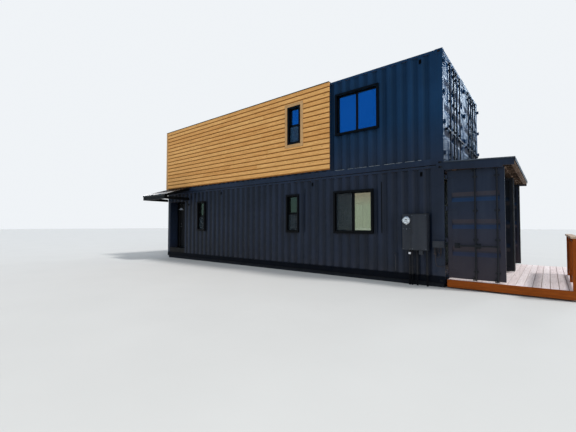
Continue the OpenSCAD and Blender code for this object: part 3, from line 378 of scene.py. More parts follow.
class Sheet:
    """Collects closed solids in one mesh, each with a tone of its own."""
    made = []

    def __init__(self, name, material, slot, body=HOUSE, replaces=(), smooth=False, place=Matrix.Identity(4)):
        self.name, self.material, self.slot, self.body = name, material, slot, body
        self.replaces, self.smooth = replaces, smooth
        self.made.append(self)
        self.bm = bmesh.new()
        self.tone = self.bm.verts.layers.float.new("tone")
        self.place = place

    def ring(self, points, tone=0.5):
        verts = []
        for p in points:
            vert = self.bm.verts.new(self.place @ Vector(p))
            vert[self.tone] = tone
            verts.append(vert)
        return verts

    def skin(self, rings, closed=False):
        """Faces between rings of the same length, capped at both ends or closed on itself."""
        n = len(rings[0])
        for a, b in list(zip(rings, rings[1:])) + ([(rings[-1], rings[0])] if closed else []):
            for i in range(n):
                self.bm.faces.new((a[i], a[(i + 1) % n], b[(i + 1) % n], b[i]))
        if not closed:
            self.bm.faces.new(rings[0][::-1])
            self.bm.faces.new(rings[-1])

    def solid(self, outline, start, end, placing, tone=0.5, chamfer=0.0):
        """A bar with a closed outline in its own (u, v), run from start to end, placed by placing(w, u, v)."""
        steps = [(start, chamfer), (start + chamfer, 0), (end - chamfer, 0), (end, chamfer)]
        if not chamfer:
            steps = [(start, 0), (end, 0)]
        middle = Vector([sum(values) / len(outline) for values in zip(*outline)])
        rings = []
        for w, inset in steps:
            points = [Vector(p) - (Vector(p) - middle).normalized() * inset if inset else p for p in outline]
            rings.append(self.ring([placing(w, u, v) for u, v in points], tone))
        self.skin(rings)

    def box(self, low, high, chamfer=0.002, tone=0.5):
        """A box with broken edges along its longest side."""
        size = [b - a for a, b in zip(low, high)]
        long_axis = size.index(max(size))
        u_axis, v_axis = [i for i in range(3) if i != long_axis]
        c = min(chamfer, min(size) / 3)
        u0, u1, v0, v1 = low[u_axis], high[u_axis], low[v_axis], high[v_axis]
        outline = [(u0 + c, v0), (u1 - c, v0), (u1, v0 + c), (u1, v1 - c), (u1 - c, v1), (u0 + c, v1), (u0, v1 - c),
                   (u0, v0 + c)]

        def placing(w, u, v):
            return [{long_axis: w, u_axis: u, v_axis: v}[i] for i in range(3)]
        self.solid(outline, low[long_axis], high[long_axis], placing, tone, c)

    def side_box(self, side, low, high, chamfer=0.002, tone=0.5):
        """A box given for the back long side, where side is 1, and mirrored to the front where it is -1."""
        near, far = sorted((side * low[1], side * high[1]))
        self.box((low[0], near, low[2]), (high[0], far, high[2]), chamfer, tone)

    def frame_bars(self, low, high, bar, chamfer=0.001):
        """Four bars round a rectangle in X and Z, with low and high as its outer corners."""
        for a, b in border(low[0], low[2], high[0], high[2], *(bar,) * 4):
            self.box((a[0], low[1], a[1]), (b[0], high[1], b[1]), chamfer)

    def lathe(self, profile, centre, axis=UP, sides=32, hollow=False):
        """A profile of (radius, height) turned round axis, with flat ends, or closed on itself where hollow."""
        turn = Vector(UP).rotation_difference(Vector(axis)).to_matrix()
        self.skin([self.ring([Vector(centre) + turn @ Vector((u, v, height)) for u, v in circle(radius, sides)])
                   for radius, height in profile], closed=hollow)

    def disc(self, centre, axis, radius, height, sides=8):
        """A round or many-sided head that stands out along axis."""
        turn = Vector(UP).rotation_difference(Vector(axis)).to_matrix()
        self.solid(circle(radius, sides), 0, height, lambda w, u, v: Vector(centre) + turn @ Vector((u, v, w)),
                   chamfer=min(radius, height) * 0.3)

    def discs(self, xs, ys, zs, *head):
        """One head at each crossing of three lists of coordinates."""
        for centre in product(xs, ys, zs):
            self.disc(centre, *head)

    def tube(self, points, radius, sides=10, bend=0.0):
        """A round bar along a line of points, with its corners rounded off to bend."""
        path = [Vector(p) for p in points]
        if bend:
            eased = [path[0]]
            for a, b, c in zip(path, path[1:], path[2:]):
                start = b + (a - b).normalized() * min(bend, (a - b).length / 2)
                end = b + (c - b).normalized() * min(bend, (c - b).length / 2)
                for k in range(6):
                    t = k / 5
                    eased.append((1 - t) ** 2 * start + 2 * t * (1 - t) * b + t * t * end)
            path = eased + [path[-1]]
        ahead = (path[1] - path[0]).normalized()
        side = ahead.orthogonal().normalized()
        rings = []
        for i, p in enumerate(path):
            before = (p - path[i - 1]).normalized() if i else ahead
            after = (path[i + 1] - p).normalized() if i + 1 < len(path) else before
            along = (before + after).normalized()
            side = (side - along * side.dot(along)).normalized()
            other = along.cross(side)
            rings.append(self.ring([p + side * u + other * v for u, v in circle(radius, sides)]))
        self.skin(rings)

    def done(self):
        bmesh.ops.recalc_face_normals(self.bm, faces=self.bm.faces)
        mesh = bpy.data.meshes.new(self.name)
        self.bm.to_mesh(mesh)
        self.bm.free()
        mesh.materials.append(self.material)
        if self.smooth:
            mesh.shade_smooth()
            mesh.set_sharp_from_angle(angle=math.radians(35))
        obj = bpy.data.objects.new(self.name, mesh)
        bpy.context.scene.collection.objects.link(obj)
        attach(obj, self.body)
        if self.replaces:
            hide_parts(*self.replaces)


# Timber cladding: lengths of board with butt joints and a shadow groove under each course

CLAD_BACK = WALL_Y + 0.038
CLAD_X0 = X_STREET + 0.030
CLAD_Y = Y_SIDE - 0.030
BOARD_T, GROOVE = 0.032, 0.028
BOARD_GAP, SHORTEST, LONGEST = 0.0012, 0.4, 4.9
STUD_STEP = 0.556
TRIM = 0.072
WINDOW_X, WINDOW_HALF, CASING_W = X_DECK - 4.570, 0.265, 0.110
CASING_X = (WINDOW_X - WINDOW_HALF - CASING_W, WINDOW_X + WINDOW_HALF + CASING_W)
CASING_Z = (Z_UP + 1.210 - CASING_W, Z_UP + 1.210 + 1.250 + CASING_W)


def courses(start, end, seed):
    """Random lengths between start and end for one course of boards."""
    cuts = [start]
    draw = random.Random(seed)
    while end - cuts[-1] > LONGEST:
        cuts.append(cuts[-1] + draw.uniform(2.4, 4.6))
    if end - cuts[-1] > SHORTEST:
        cuts.append(end)
    else:
        cuts[-1] = end
    return list(zip(cuts, cuts[1:]))


def board_profile(z):
    """A board with a thin tongue at its foot that makes the groove, and rounded edges."""
    r = 0.003
    back, head = BOARD_T / 4, 0.8 * BOARD_T
    return [(0, z), (back, z), (back, z + GROOVE), (BOARD_T - r, z + GROOVE), (BOARD_T, z + GROOVE + r),
            (head, z + BOARD_H - r), (head - r, z + BOARD_H), (0, z + BOARD_H)]


def clipped(outline, limit, keep):
    """The part of an outline below or above a height."""
    out = []
    for (u0, v0), (u1, v1) in zip(outline, outline[1:] + outline[:1]):
        inside = (v0 - limit) * keep >= 0
        if inside:
            out.append((u0, v0))
        if inside != ((v1 - limit) * keep >= 0):
            t = (limit - v0) / (v1 - v0)
            out.append((u0 + t * (u1 - u0), limit))
    return out


def around_window(a, b, outline, tone):
    """One length of board, cut where it meets the casing of the upper window."""
    z, top = outline[0][1], outline[-1][1]
    (left, right), (sill, head) = CASING_X, CASING_Z
    if not (top > sill and z < head and a < right and b > left):
        return [(a, b, outline, tone)]
    pieces = [(a, left, outline, tone), (right, b, outline, tone)]
    between = max(a, left), min(b, right)
    if z < sill - 0.002:
        pieces.append((*between, clipped(outline, sill - 0.001, -1), tone))
    if top > head + 0.002:
        pieces.append((*between, clipped(outline, head + 0.001, 1), tone))
    return pieces


def clad_boards():
    long_sides = Sheet("cladding_boards", TAN, "timber", replaces=["wood_cladding"])
    street = Sheet("cladding_boards_street", TAN_ACROSS, "timber")
    nails = Sheet("cladding_nails", METAL, "bare_metal")
    for i in range(BOARD_COUNT):
        z = CLAD_Z0 + i * BOARD_H
        outline = board_profile(z)
        for side in (-1, 1):
            pieces = []
            for a, b in courses(CLAD_X0, CLAD_X, 40 * i + side):
                pieces += around_window(a, b, outline, rng.random())
            for a, b, shape, tone in pieces:
                if b - a < 0.02 or len(shape) < 3:
                    continue
                start = a if abs(a - CASING_X[0]) < 0.001 else a + BOARD_GAP
                long_sides.solid(shape, start, b if b == CLAD_X else b - BOARD_GAP,
                                 lambda w, u, v: (w, side * (CLAD_BACK + u), v), tone)
                x = a + 0.05
                while shape is outline and x < b:
                    nails.disc((x, side * (CLAD_BACK + BOARD_T * 0.97), z + GROOVE + 0.02), (0, side, 0), 0.0035,
                               0.0015, 6)
                    x += STUD_STEP
        for a, b in courses(-CLAD_Y, CLAD_Y, 900 + i):
            street.solid(outline, a + BOARD_GAP, b - BOARD_GAP, lambda w, u, v: (X_STREET - 0.028 - u, w, v),
                         rng.random())


def cladding_trim():
    """Corner boards, window casings and the capping boards over the cladding."""
    uprights = Sheet("trim_uprights", TRIM_UP, "timber", replaces=["cladding_trim"])
    level = Sheet("trim_boards", TRIM_LONG, "timber")
    caps = Sheet("cladding_caps", BLACK, "timber")
    low, out, cut = CLAD_Z0 - 0.012, Y_SIDE + TRIM, 0.0005
    cap_in, cap_out, cap_top = 0.040, 0.006, CLAD_Z1 + 0.014
    for side in (-1, 1):
        uprights.side_box(side, (X_STREET - TRIM, Y_SIDE, low), (CLAD_X0, out, CLAD_Z1), 0.003, 0.35)
        uprights.side_box(side, (X_STREET - TRIM, CLAD_Y, low), (X_STREET, Y_SIDE - cut, CLAD_Z1), 0.003, 0.6)
        for s in (-1, 1):
            x0, x1 = sorted((WINDOW_X + s * WINDOW_HALF, WINDOW_X + s * (WINDOW_HALF + CASING_W)))
            uprights.side_box(side, (x0, CLAD_BACK, CASING_Z[0]), (x1, out, CASING_Z[1]), 0.003, 0.5 + 0.2 * s)
        for z in (CASING_Z[0], CASING_Z[1] - CASING_W):
            level.side_box(side, (WINDOW_X - WINDOW_HALF + cut, CLAD_BACK, z),
                           (WINDOW_X + WINDOW_HALF - cut, out, z + CASING_W), 0.003, 0.4)
        for a, b in courses(X_STREET + cap_in + cut, CLAD_X, 77 + side):
            caps.side_box(side, (a, Y_SIDE - cap_in, CLAD_Z1), (b - cut, out + cap_out, cap_top), tone=rng.random())
    for a, b in courses(-out - cap_out, out + cap_out, 78):
        caps.box((X_STREET - TRIM - cap_out, a, CLAD_Z1), (X_STREET + cap_in, b - cut, cap_top), tone=rng.random())


clad_boards()
cladding_trim()


# Deck: boards with rounded edges and screws, joists, rims and guard

FASCIA_T = 0.040
JOIST_T, JOIST_BAYS = 0.038, 8
POST = 0.089


def deck():
    """Boards that end inside the two side fascias, which stand almost as high as the boards."""
    lo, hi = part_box("deck_boards")
    frame_lo, frame_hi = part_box("deck_frame")
    planks = Sheet("deck_planks", PLANK, "planks", replaces=["deck_boards"])
    screws = Sheet("deck_screws", METAL, "bare_metal")
    width, gap = 0.140, 0.006
    count = int((hi.x - lo.x + gap) // (width + gap))
    step = (hi.x - lo.x - width) / (count - 1)
    bay = (frame_hi.y - frame_lo.y - JOIST_T) / JOIST_BAYS
    first = frame_lo.y + JOIST_T / 2
    for i in range(count):
        x = lo.x + i * step
        split = first + rng.choice((3, 4, 5)) * bay
        for a, b in ((lo.y + FASCIA_T, split - 0.001), (split + 0.001, hi.y - FASCIA_T)):
            planks.box((x, a, lo.z), (x + width, b, hi.z), 0.004, rng.random())
        for j in range(1, JOIST_BAYS):
            y = first + j * bay
            pair = (y - 0.012, y + 0.012) if abs(y - split) < 0.01 else (y,)
            screws.discs((x + 0.03, x + width - 0.03), pair, [hi.z], UP, 0.004, 0.0006)

    joists = Sheet("deck_joists", CEDAR, "cedar", replaces=["deck_frame"])
    rims = Sheet("deck_rims", CEDAR_ACROSS, "cedar")
    bolts = Sheet("deck_fascia_screws", CABLE, "bare_metal")
    x0, z0, z1 = X_DECK + 0.040, frame_lo.z, frame_hi.z
    for j in range(JOIST_BAYS + 1):
        y = frame_lo.y + j * bay
        outer = j in (0, JOIST_BAYS)
        end, top = (0, hi.z - 0.003) if outer else (JOIST_T, z1)
        joists.box((x0 + end, y, z0), (frame_hi.x - end, y + JOIST_T, top), tone=rng.random())
    for a, b in ((x0, x0 + JOIST_T), (frame_hi.x - JOIST_T, frame_hi.x)):
        rims.box((a, frame_lo.y + JOIST_T, z0), (b, frame_hi.y - JOIST_T, z1), tone=rng.random())
    for side in (-1, 1):
        rims.side_box(side, (X_DECK - 0.006, Y_MID + 0.162, z0), (x0, Y_SIDE - 0.162, z1), tone=rng.random())
        bolts.discs([x0 + 0.12 + k * 0.27 for k in range(9)], [side * frame_hi.y], (z0 + 0.03, z0 + 0.11),
                    (0, side, 0), 0.005, 0.0012)


def guard():
    """Three posts with two rails, square balusters and a wide cap."""
    lo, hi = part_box("deck_guard")
    uprights = Sheet("guard_uprights", CEDAR_UP, "cedar", replaces=["deck_guard"])
    rails = Sheet("guard_rails", CEDAR_ACROSS, "cedar")
    caps = Sheet("guard_cap", CAP, "timber")
    rail_t, long, top, over = 0.038, 2.760, hi.z - 0.038, 0.025
    x, y0 = hi.x - 0.140 + over, lo.y + 0.020
    bay = (long - POST) / 2
    for i in range(3):
        y = y0 + i * bay
        uprights.box((x, y, lo.z), (x + POST, y + POST, top), 0.004, rng.random())
    caps.box((x - over, lo.y, top), (hi.x, hi.y, hi.z), 0.005, 0.8)
    for z in (lo.z + 0.090, top - POST):
        for i in range(2):
            a = y0 + POST + i * bay
            rails.box((x + (POST - rail_t) / 2, a, z), (x + (POST + rail_t) / 2, a + bay - POST, z + POST),
                      0.003, rng.random())
    count = round(long / 0.130)
    face, half = x + POST / 2 + rail_t / 2, 0.018
    for i in range(1, count):
        y = y0 + i * long / count
        if min(abs(y - y0 - POST / 2 - k * bay) for k in range(3)) < 0.070:
            continue
        uprights.box((face, y - half, lo.z + 0.100), (face + 0.025, y + half, top - 0.010), tone=rng.random())


deck()
guard()


# Deck roof: beams, ribs on the sheet, and screws

ROOF_PLACE = Matrix.Translation((X_DECK, 0, Z_UP + 0.056)) @ Matrix.Rotation(math.radians(2.8), 4, "Y")
ROOF_L, ROOF_HALF = 1.455, Y_SIDE + 0.038
RAFTER_H, RAFTER_T, RAFTER_STEP = 0.089, 0.038, 0.6


def deck_roof():
    beams = Sheet("roof_rafters", RAFTER, "cedar", replaces=["deck_rafters"], place=ROOF_PLACE)
    cross = Sheet("roof_beams", RAFTER_ACROSS, "cedar", place=ROOF_PLACE)
    t, wall = RAFTER_T, 0.006
    top, low = -0.012, -0.012 - RAFTER_H
    half, end = ROOF_HALF - t, ROOF_L - t
    inner = end - RAFTER_H
    count = round((2 * ROOF_HALF - 3 * t) / RAFTER_STEP)
    step = (2 * ROOF_HALF - 3 * t) / count
    for i in range(count + 1):
        y = -half + i * step
        outer = i in (0, count)
        beams.box((wall if outer else t, y, low), (end if outer else inner, y + t, top), tone=rng.random())
    for i in range(count):
        a, b = -half + t + i * step, -half + (i + 1) * step
        cross.box((wall, a, low), (t, b, top), tone=rng.random())
        cross.box((inner, a, low), (end, b, top), 0.004, rng.random())
        cross.box((end - 0.279, a, low + 0.030), (end - 0.241, b, low + 0.074), tone=rng.random())

    ribs = Sheet("deck_roof_ribs", ROOF, "roof_metal", place=ROOF_PLACE)
    screws = Sheet("deck_roof_screws", METAL, "bare_metal", place=ROOF_PLACE)
    y = -ROOF_HALF + 0.012
    while y < ROOF_HALF:
        outline = [(y - 0.022, 0), (y + 0.022, 0), (y + 0.010, 0.018), (y - 0.010, 0.018)]
        ribs.solid(outline, 0.004, ROOF_L - 0.022, lambda w, u, v: (w, u, v))
        screws.discs([0.08 + k * 0.32 for k in range(5)], [y + 0.05], [0], UP, 0.007, 0.004)
        y += 0.3075


deck_roof()


# Cargo doors: gaskets, bolts on the hinge blades and brackets, keepers and weld beads

LEAF_Z0, LEAF_Z1 = 0.150, 2.725
LEAF_H = LEAF_Z1 - LEAF_Z0
LEAF_W, LEAF_T, LEAF_EDGE, LEAF_BAR, LEAF_FACE = 1.165, 0.050, 0.048, 0.090, 0.008
PIN = Matrix.Translation((0.035, -0.028, 0))
ROD_Y = (LEAF_EDGE + 0.590, LEAF_EDGE + 1.020)
BRACKETS = (0.190, 0.36 * LEAF_H, 0.62 * LEAF_H, LEAF_H - 0.190)
FLIP_X, FLIP_Y = Matrix.Diagonal((-1, 1, 1, 1)), Matrix.Diagonal((1, -1, 1, 1))


def leaf_place(k, z, opened):
    """From a leaf's own frame, closed with its outside towards -x, to its place on the deck end."""
    outer = k in (1, 4)
    turn = Matrix.Translation((X_DECK, -Y_SIDE if outer else -Y_MID, z)) @ FLIP_X
    if not outer:
        turn = turn @ FLIP_Y
    if opened:
        turn = turn @ PIN.inverted() @ Matrix.Rotation(math.radians(90), 4, "Z") @ PIN
    return FLIP_Y @ turn if k > 2 else turn


def leaf_parts(k, z, opened):
    body, mark = (f"cargo_door_{k}", f"{k}") if opened else (HOUSE, f"upper_{k}")
    place, out = leaf_place(k, z, opened), (-1, 0, 0)
    gasket = Sheet(f"door_gasket_{mark}", RUBBER, "steel", body, place=place)
    bolts = Sheet(f"door_bolts_{mark}", STEEL, "steel", body, place=place)
    seams = Sheet(f"door_welds_{mark}", STEEL, "steel", body, smooth=True, place=place)
    back = LEAF_FACE + LEAF_T
    for a, b in border(LEAF_EDGE + 0.004, LEAF_Z0 + 0.004, LEAF_EDGE + LEAF_W - 0.003, LEAF_Z1 - 0.004,
                       *(0.030,) * 4):
        gasket.box((back, *a), (back + 0.003, *b), 0.001)
    blades = [LEAF_Z0 + 0.140 + h * (LEAF_H - 0.280) / 3 for h in range(4)]
    for head in ((0.010, 0.006, 6), (0.014, 0.0015, 14)):
        bolts.discs([-0.004], [LEAF_EDGE + y for y in (0.060, 0.110, 0.160)], blades, out, *head)
    brackets = [LEAF_Z0 + bracket + dz for bracket in BRACKETS for dz in (-0.040, 0.040)]
    bolts.discs([LEAF_FACE - 0.005], ROD_Y, brackets, out, 0.006, 0.004, 6)
    x, inset = LEAF_FACE + 0.0025, LEAF_BAR + 0.001
    for y in (LEAF_EDGE + inset, LEAF_EDGE + LEAF_W - inset):
        seams.tube([(x, y, LEAF_Z0 + LEAF_BAR), (x, y, LEAF_Z1 - LEAF_BAR)], 0.004, 8)


def keepers():
    """Forked keepers that catch the cams at the sill and the header of each storey."""
    forks = Sheet("door_keepers", STEEL, "steel")
    for k, storey in product((1, 2, 3, 4), (Z_UP, Z_LOW)):
        forks.place = leaf_place(k, storey, False)
        for y, (low, high), reach in product(ROD_Y, ((0.078, 0.122), (2.752, 2.790)), (-0.050, 0.034)):
            forks.box((-0.012, y + reach, low), (0.006, y + reach + 0.016, high), 0.003)


for number in (1, 2, 3, 4):
    leaf_parts(number, Z_LOW, True)
    leaf_parts(number, Z_UP, False)
keepers()


# Windows: glazing beads, sashes, sill drips, an insect screen and latches

# Middle from the deck end, width, two panes side by side or one over the other, sill, and reach out of the wall
WINDOWS = (
    (2.460, 1.260, True, Z_LOW + 1.180, 0.045), (4.665, 0.530, False, Z_LOW + 1.180, 0.045),
    (9.610, 0.530, False, Z_LOW + 1.180, 0.045), (2.335, 1.370, True, Z_UP + 1.210, 0.045),
    (4.570, 0.530, False, Z_UP + 1.210, 0.084))
WINDOW_H, BAR, MULLION, GLASS_IN = 1.250, 0.060, 0.050, 0.090
SASH, BEAD, NET = 0.024, 0.006, 0.016


def pane_sashes(side, x, width, split, z, face, sheets):
    """Sash, bead, latch and insect screen of both panes of a window."""
    sashes, nets, screens, latches = sheets
    x0, x1, z0, z1 = x - width / 2 + BAR, x + width / 2 - BAR, z + BAR, z + WINDOW_H - BAR
    middle = z + WINDOW_H / 2
    if split:
        panes = ((x0, z0, x - MULLION / 2, z1, (SASH, BEAD, SASH, SASH)),
                 (x + MULLION / 2, z0, x1, z1, (BEAD, SASH, SASH, SASH)))
    else:
        panes = ((x0, z0, x1, middle - MULLION / 2, (SASH, SASH, SASH, BEAD)),
                 (x0, middle + MULLION / 2, x1, z1, (SASH, SASH, BEAD, SASH)))

    def bars(sheet, corners, widths, near, far):
        for low, high in border(*corners, *widths):
            sheet.side_box(side, (low[0], face - far, low[1]), (high[0], face - near, high[1]))
    for n, (a, c, b, d, widths) in enumerate(panes):
        bars(sashes, (a, c, b, d), widths, GLASS_IN + 0.0005, GLASS_IN + 0.0145)
        left, right, foot, head = widths
        bars(sashes, (a + left, c + foot, b - right, d - head), (BEAD,) * 4, GLASS_IN + 0.009, GLASS_IN + 0.0145)
        if n == 0 and not (split and z > Z_UP):
            near = GLASS_IN - 0.015
            bars(nets, (a, c, b, d), (NET,) * 4, near, near + 0.011)
            screens.side_box(side, (a + NET, face - near - 0.0065, c + NET),
                             (b - NET, face - near - 0.0053, d - NET), 0.0003)
        latches.side_box(side, ((a + b) / 2 - 0.030, face - GLASS_IN - 0.0005, d - 0.016),
                         ((a + b) / 2 + 0.030, face - GLASS_IN + 0.006, d - 0.004))


def windows():
    sheets = [Sheet(f"window_{kind}", material, "black_metal") for kind, material in (
        ("sashes", BLACK), ("screen_frames", BLACK), ("screens", SCREEN), ("latches", BLACK))]
    for side in (-1, 1):
        for from_end, width, split, z, out in WINDOWS:
            x, face = X_DECK - from_end, Y_SIDE + out
            pane_sashes(side, x, width, split, z, face, sheets)
            half, lip = width / 2 + 0.012, min(face + 0.012, Y_SIDE + 0.084)
            sheets[0].side_box(side, (x - half, face - 0.030, z - 0.010), (x + half, lip, z))


windows()


# Glazed screen at the deck end: sashes and pull handles

def patio():
    sashes = Sheet("patio_sashes", BLACK, "black_metal")
    pulls = Sheet("patio_pulls", METAL, "bare_metal", smooth=True)
    width, bar, inner = 0.952, 0.070, 2.286
    z0, z1 = Z_LOW + 0.400, Z_LOW + 2.760
    stile, foot = 0.030, 0.045
    for side in (-1, 1):
        for k in (0, 1):
            a = -inner + bar + k * (width + bar)
            b = a + width
            glass = X_DECK - 0.178 + 0.020 + k * 0.035
            x = glass + 0.0205
            for low, high in border(a, z0, b, z1, stile, stile, foot, stile):
                for x0 in (glass - 0.014, x):
                    sashes.side_box(-side, (x0, *low), (x0 + 0.0135, *high), 0.003)
            y = -side * (a + 0.052 if k else b - 0.052)
            grip = x + 0.030
            pulls.tube([(x, y, 1.32), (grip, y, 1.32), (grip, y, 1.62), (x, y, 1.62)], 0.008, 10, 0.012)


patio()


# Entrance: door mouldings, threshold, weather strips, lamp and porch

def entrance():
    x0, x1, z0, z1 = -5.783, -4.869, 0.504, 2.533
    outside, inside = -1.973, -1.928
    stile, recess, skin, field = 0.130, 0.006, 0.0005, 0.060
    height = (z1 - z0 - stile) / 3 - stile
    panels = Sheet("entry_door_mouldings", DOOR, "door_paint", "entry_door")
    strips = Sheet("entry_weather_strips", RUBBER, "black_metal")
    metal = Sheet("entry_threshold", METAL, "bare_metal")
    for i in range(3):
        low = z0 + stile + i * (height + stile)
        for y_a, y_b in ((outside + skin, outside + recess + skin), (inside - recess - skin, inside - skin)):
            panels.frame_bars((x0 + stile, y_a, low), (x1 - stile, y_b, low + height), 0.014, 0.003)
            panels.frame_bars((x0 + stile + field, y_a + 0.001, low + field),
                              (x1 - stile - field, y_b - 0.001, low + height - field), 0.009, 0.003)

    strip, joint = 0.0045, 0.008
    strips.box((x0 - joint, -2.035, z0 - joint), (x0 - strip, -1.985, z1 + joint), 0.0008)
    strips.box((x0 - strip, -2.035, z1 + strip), (x1 + 0.001, -1.985, z1 + joint), 0.0008)

    metal.box((x0 - 0.0075, -2.046, z0 - 0.0075), (x1 + 0.0075, -1.930, z0 - 0.0050), 0.0008)
    for k in range(5):
        metal.box((x0, -2.040 + k * 0.010, z0 - 0.0055), (x1, -2.036 + k * 0.010, z0 - 0.0038), 0.0006)

    key = Sheet("entry_lock", METAL, "bare_metal", "entry_door", smooth=True)
    x = x0 + 0.065
    key.lathe([(0.026, 0), (0.026, 0.006), (0.023, 0.009), (0.012, 0.009), (0.012, 0.011)], (x, outside, 1.58), FRONT,
              24)
    key.box((x - 0.0015, outside - 0.0125, 1.574), (x + 0.0015, outside - 0.0105, 1.586), 0.0004)
    key.discs([x], [outside - 0.010], (z0 + 0.940, z0 + 0.960), FRONT, 0.004, 0.0012, 10)


def lamp():
    """Gooseneck lamp: black arm, galvanised shade and its bulb."""
    x, wall, z = -4.448, -2.438, 2.421
    radius, stub, drop = 0.170, 0.035, 0.130
    arm = Sheet("lamp_arm", BLACK, "black_metal", replaces=["entry_lamp"], smooth=True)
    shade = Sheet("lamp_shade", SHADE, "bare_metal", smooth=True)
    bulb = Sheet("lamp_bulb", WHITE, "bare_metal", smooth=True)
    path = [(x, wall - 0.010, z), (x, wall - stub + 0.010, z), (x, wall - stub + 0.003, z + 0.003),
            (x, wall - stub, z + 0.010)]
    for k in range(1, 21):
        turn = math.pi * k / 20
        path.append((x, wall - stub - radius * (1 - math.cos(turn)), z + radius * math.sin(turn)))
    y = wall - stub - 2 * radius
    path.append((x, y, z - drop + 0.004))
    arm.tube(path, 0.009, 14)
    arm.lathe([(0.055, 0), (0.055, 0.008), (0.050, 0.014), (0.020, 0.014), (0.014, 0.022)], (x, wall, z), FRONT)
    arm.lathe([(0.012, 0.016), (0.020, 0.010), (0.026, 0), (0.026, -0.034), (0.020, -0.038)], (x, y, z - drop),
              sides=28)
    for turn in (0.6, 2.7, 4.8):
        arm.disc((x + 0.038 * math.cos(turn), wall - 0.0135, z + 0.038 * math.sin(turn)), FRONT, 0.005, 0.003)
    top = (x, y, z - drop - 0.030)
    outer = [(0.024, 0.002), (0.032, -0.003), (0.044, -0.016), (0.062, -0.040), (0.084, -0.062), (0.100, -0.074),
             (0.105, -0.080)]
    rim = [(0.104, -0.0815), (0.101, -0.080)]
    inner = [(0.098, -0.0755), (0.083, -0.065), (0.060, -0.043), (0.042, -0.020), (0.030, -0.007), (0.022, -0.002)]
    shade.lathe(outer + rim + inner, top, sides=40, hollow=True)
    bulb.lathe([(0.004, -0.079), (0.012, -0.077), (0.020, -0.070), (0.024, -0.060), (0.022, -0.048), (0.015, -0.034),
                (0.013, -0.006)], top, sides=24)


def porch():
    """Ribs, flashings and screws on the porch sheet."""
    fall = math.radians(17)
    place = Matrix.Translation((0, -Y_SIDE, 3.188)) @ Matrix.Rotation(fall, 4, "X")
    long = 1.215 / math.cos(fall)
    x0, x1, edge, count = -6.165, -4.385, 0.020, 6
    ribs = Sheet("porch_ribs", PORCH, "roof_metal", place=place)
    screws = Sheet("porch_screws", METAL, "bare_metal", place=place)
    flash = Sheet("porch_flashing", PORCH, "roof_metal", place=place)
    for k in range(count + 1):
        x = x0 + edge + k * (x1 - x0 - 2 * edge) / count
        outline = [(x - 0.018, 0), (x + 0.018, 0), (x + 0.009, 0.016), (x - 0.009, 0.016)]
        ribs.solid(outline, -long + 0.006, -0.016, lambda w, u, v: (u, w, v), 0.5, 0.002)
        if k < count:
            screws.discs([x + 0.05], (-0.16, -0.62, -1.20), [0], UP, 0.007, 0.004)
    flash.box((x0 - 0.002, -0.075, 0.016), (x1 + 0.002, -0.004, 0.0185), 0.0008)
    flash.box((x0 - 0.002, -long + 0.0012, -0.030), (x1 + 0.002, -long + 0.0042, 0.0015), 0.0008)


entrance()
lamp()
porch()


# Services: panel, meter, small boxes, pipes and vents

PANEL_X0, PANEL_X1, PANEL_Z0, PANEL_Z1 = 5.347, 5.742, 0.885, 1.795
LID_Y, METER_Y, PIPE_Y = -2.642, -2.598, -2.508
METER_X, METER_Z = 5.228, 1.635
PIPE_R = 0.0245


def panel():
    """Lid, hinges, latch and fixings of the wide box, and the two lids of the narrow meter box beside it."""
    lid = Sheet("panel_lid", GREY, "grey_metal")
    fixings = Sheet("panel_fixings", METAL, "bare_metal", smooth=True)
    edge, bead, screw_in = 0.012, 0.003, 0.022
    x0, x1, z0, z1 = PANEL_X0 + edge, PANEL_X1 - edge, PANEL_Z0 + edge, PANEL_Z1 - edge
    lid.frame_bars((x0, LID_Y - bead, z0), (x1, LID_Y, z1), 0.010)
    lid.box((x0 - 0.014, LID_Y - 0.010, z1 + 0.014), (x1 + 0.014, -WALL_Y, z1 + 0.020))
    for z in (z0 + 0.10, z1 - 0.16):
        lid.tube([(x1 + 0.006, LID_Y + 0.008, z), (x1 + 0.006, LID_Y + 0.008, z + 0.060)], 0.006)
    middle, half = (z0 + z1) / 2, 0.045
    lid.box((x0 + 0.020, LID_Y - 0.014, middle - half), (x0 + 0.042, LID_Y, middle + half), 0.003)
    fixings.discs((x0 + screw_in, x1 - screw_in), [LID_Y - bead], (z0 + screw_in, z1 - screw_in), FRONT, 0.006, 0.003)
    lid.box((5.526, -2.600, PANEL_Z0 - 0.105), (5.618, -2.520, PANEL_Z0), 0.004)
    x0, x1, face = PANEL_X0 - 0.230, PANEL_X0 - 0.008, METER_Y - 0.004
    lid.frame_bars((x0 + 0.008, face, PANEL_Z0 + 0.010), (x1, METER_Y, PANEL_Z0 + 0.560), 0.010)
    lid.frame_bars((x0 + 0.008, face, PANEL_Z0 + 0.575), (x1, METER_Y, PANEL_Z1 - 0.010), 0.008)
    fixings.disc(((x0 + x1) / 2, METER_Y, PANEL_Z0 + 0.530), FRONT, 0.010, 0.010, 12)
    fixings.discs((x0 + 0.024, x1 - screw_in), [face], (PANEL_Z0 + 0.028, PANEL_Z0 + 0.540), FRONT, 0.005, 0.0025)


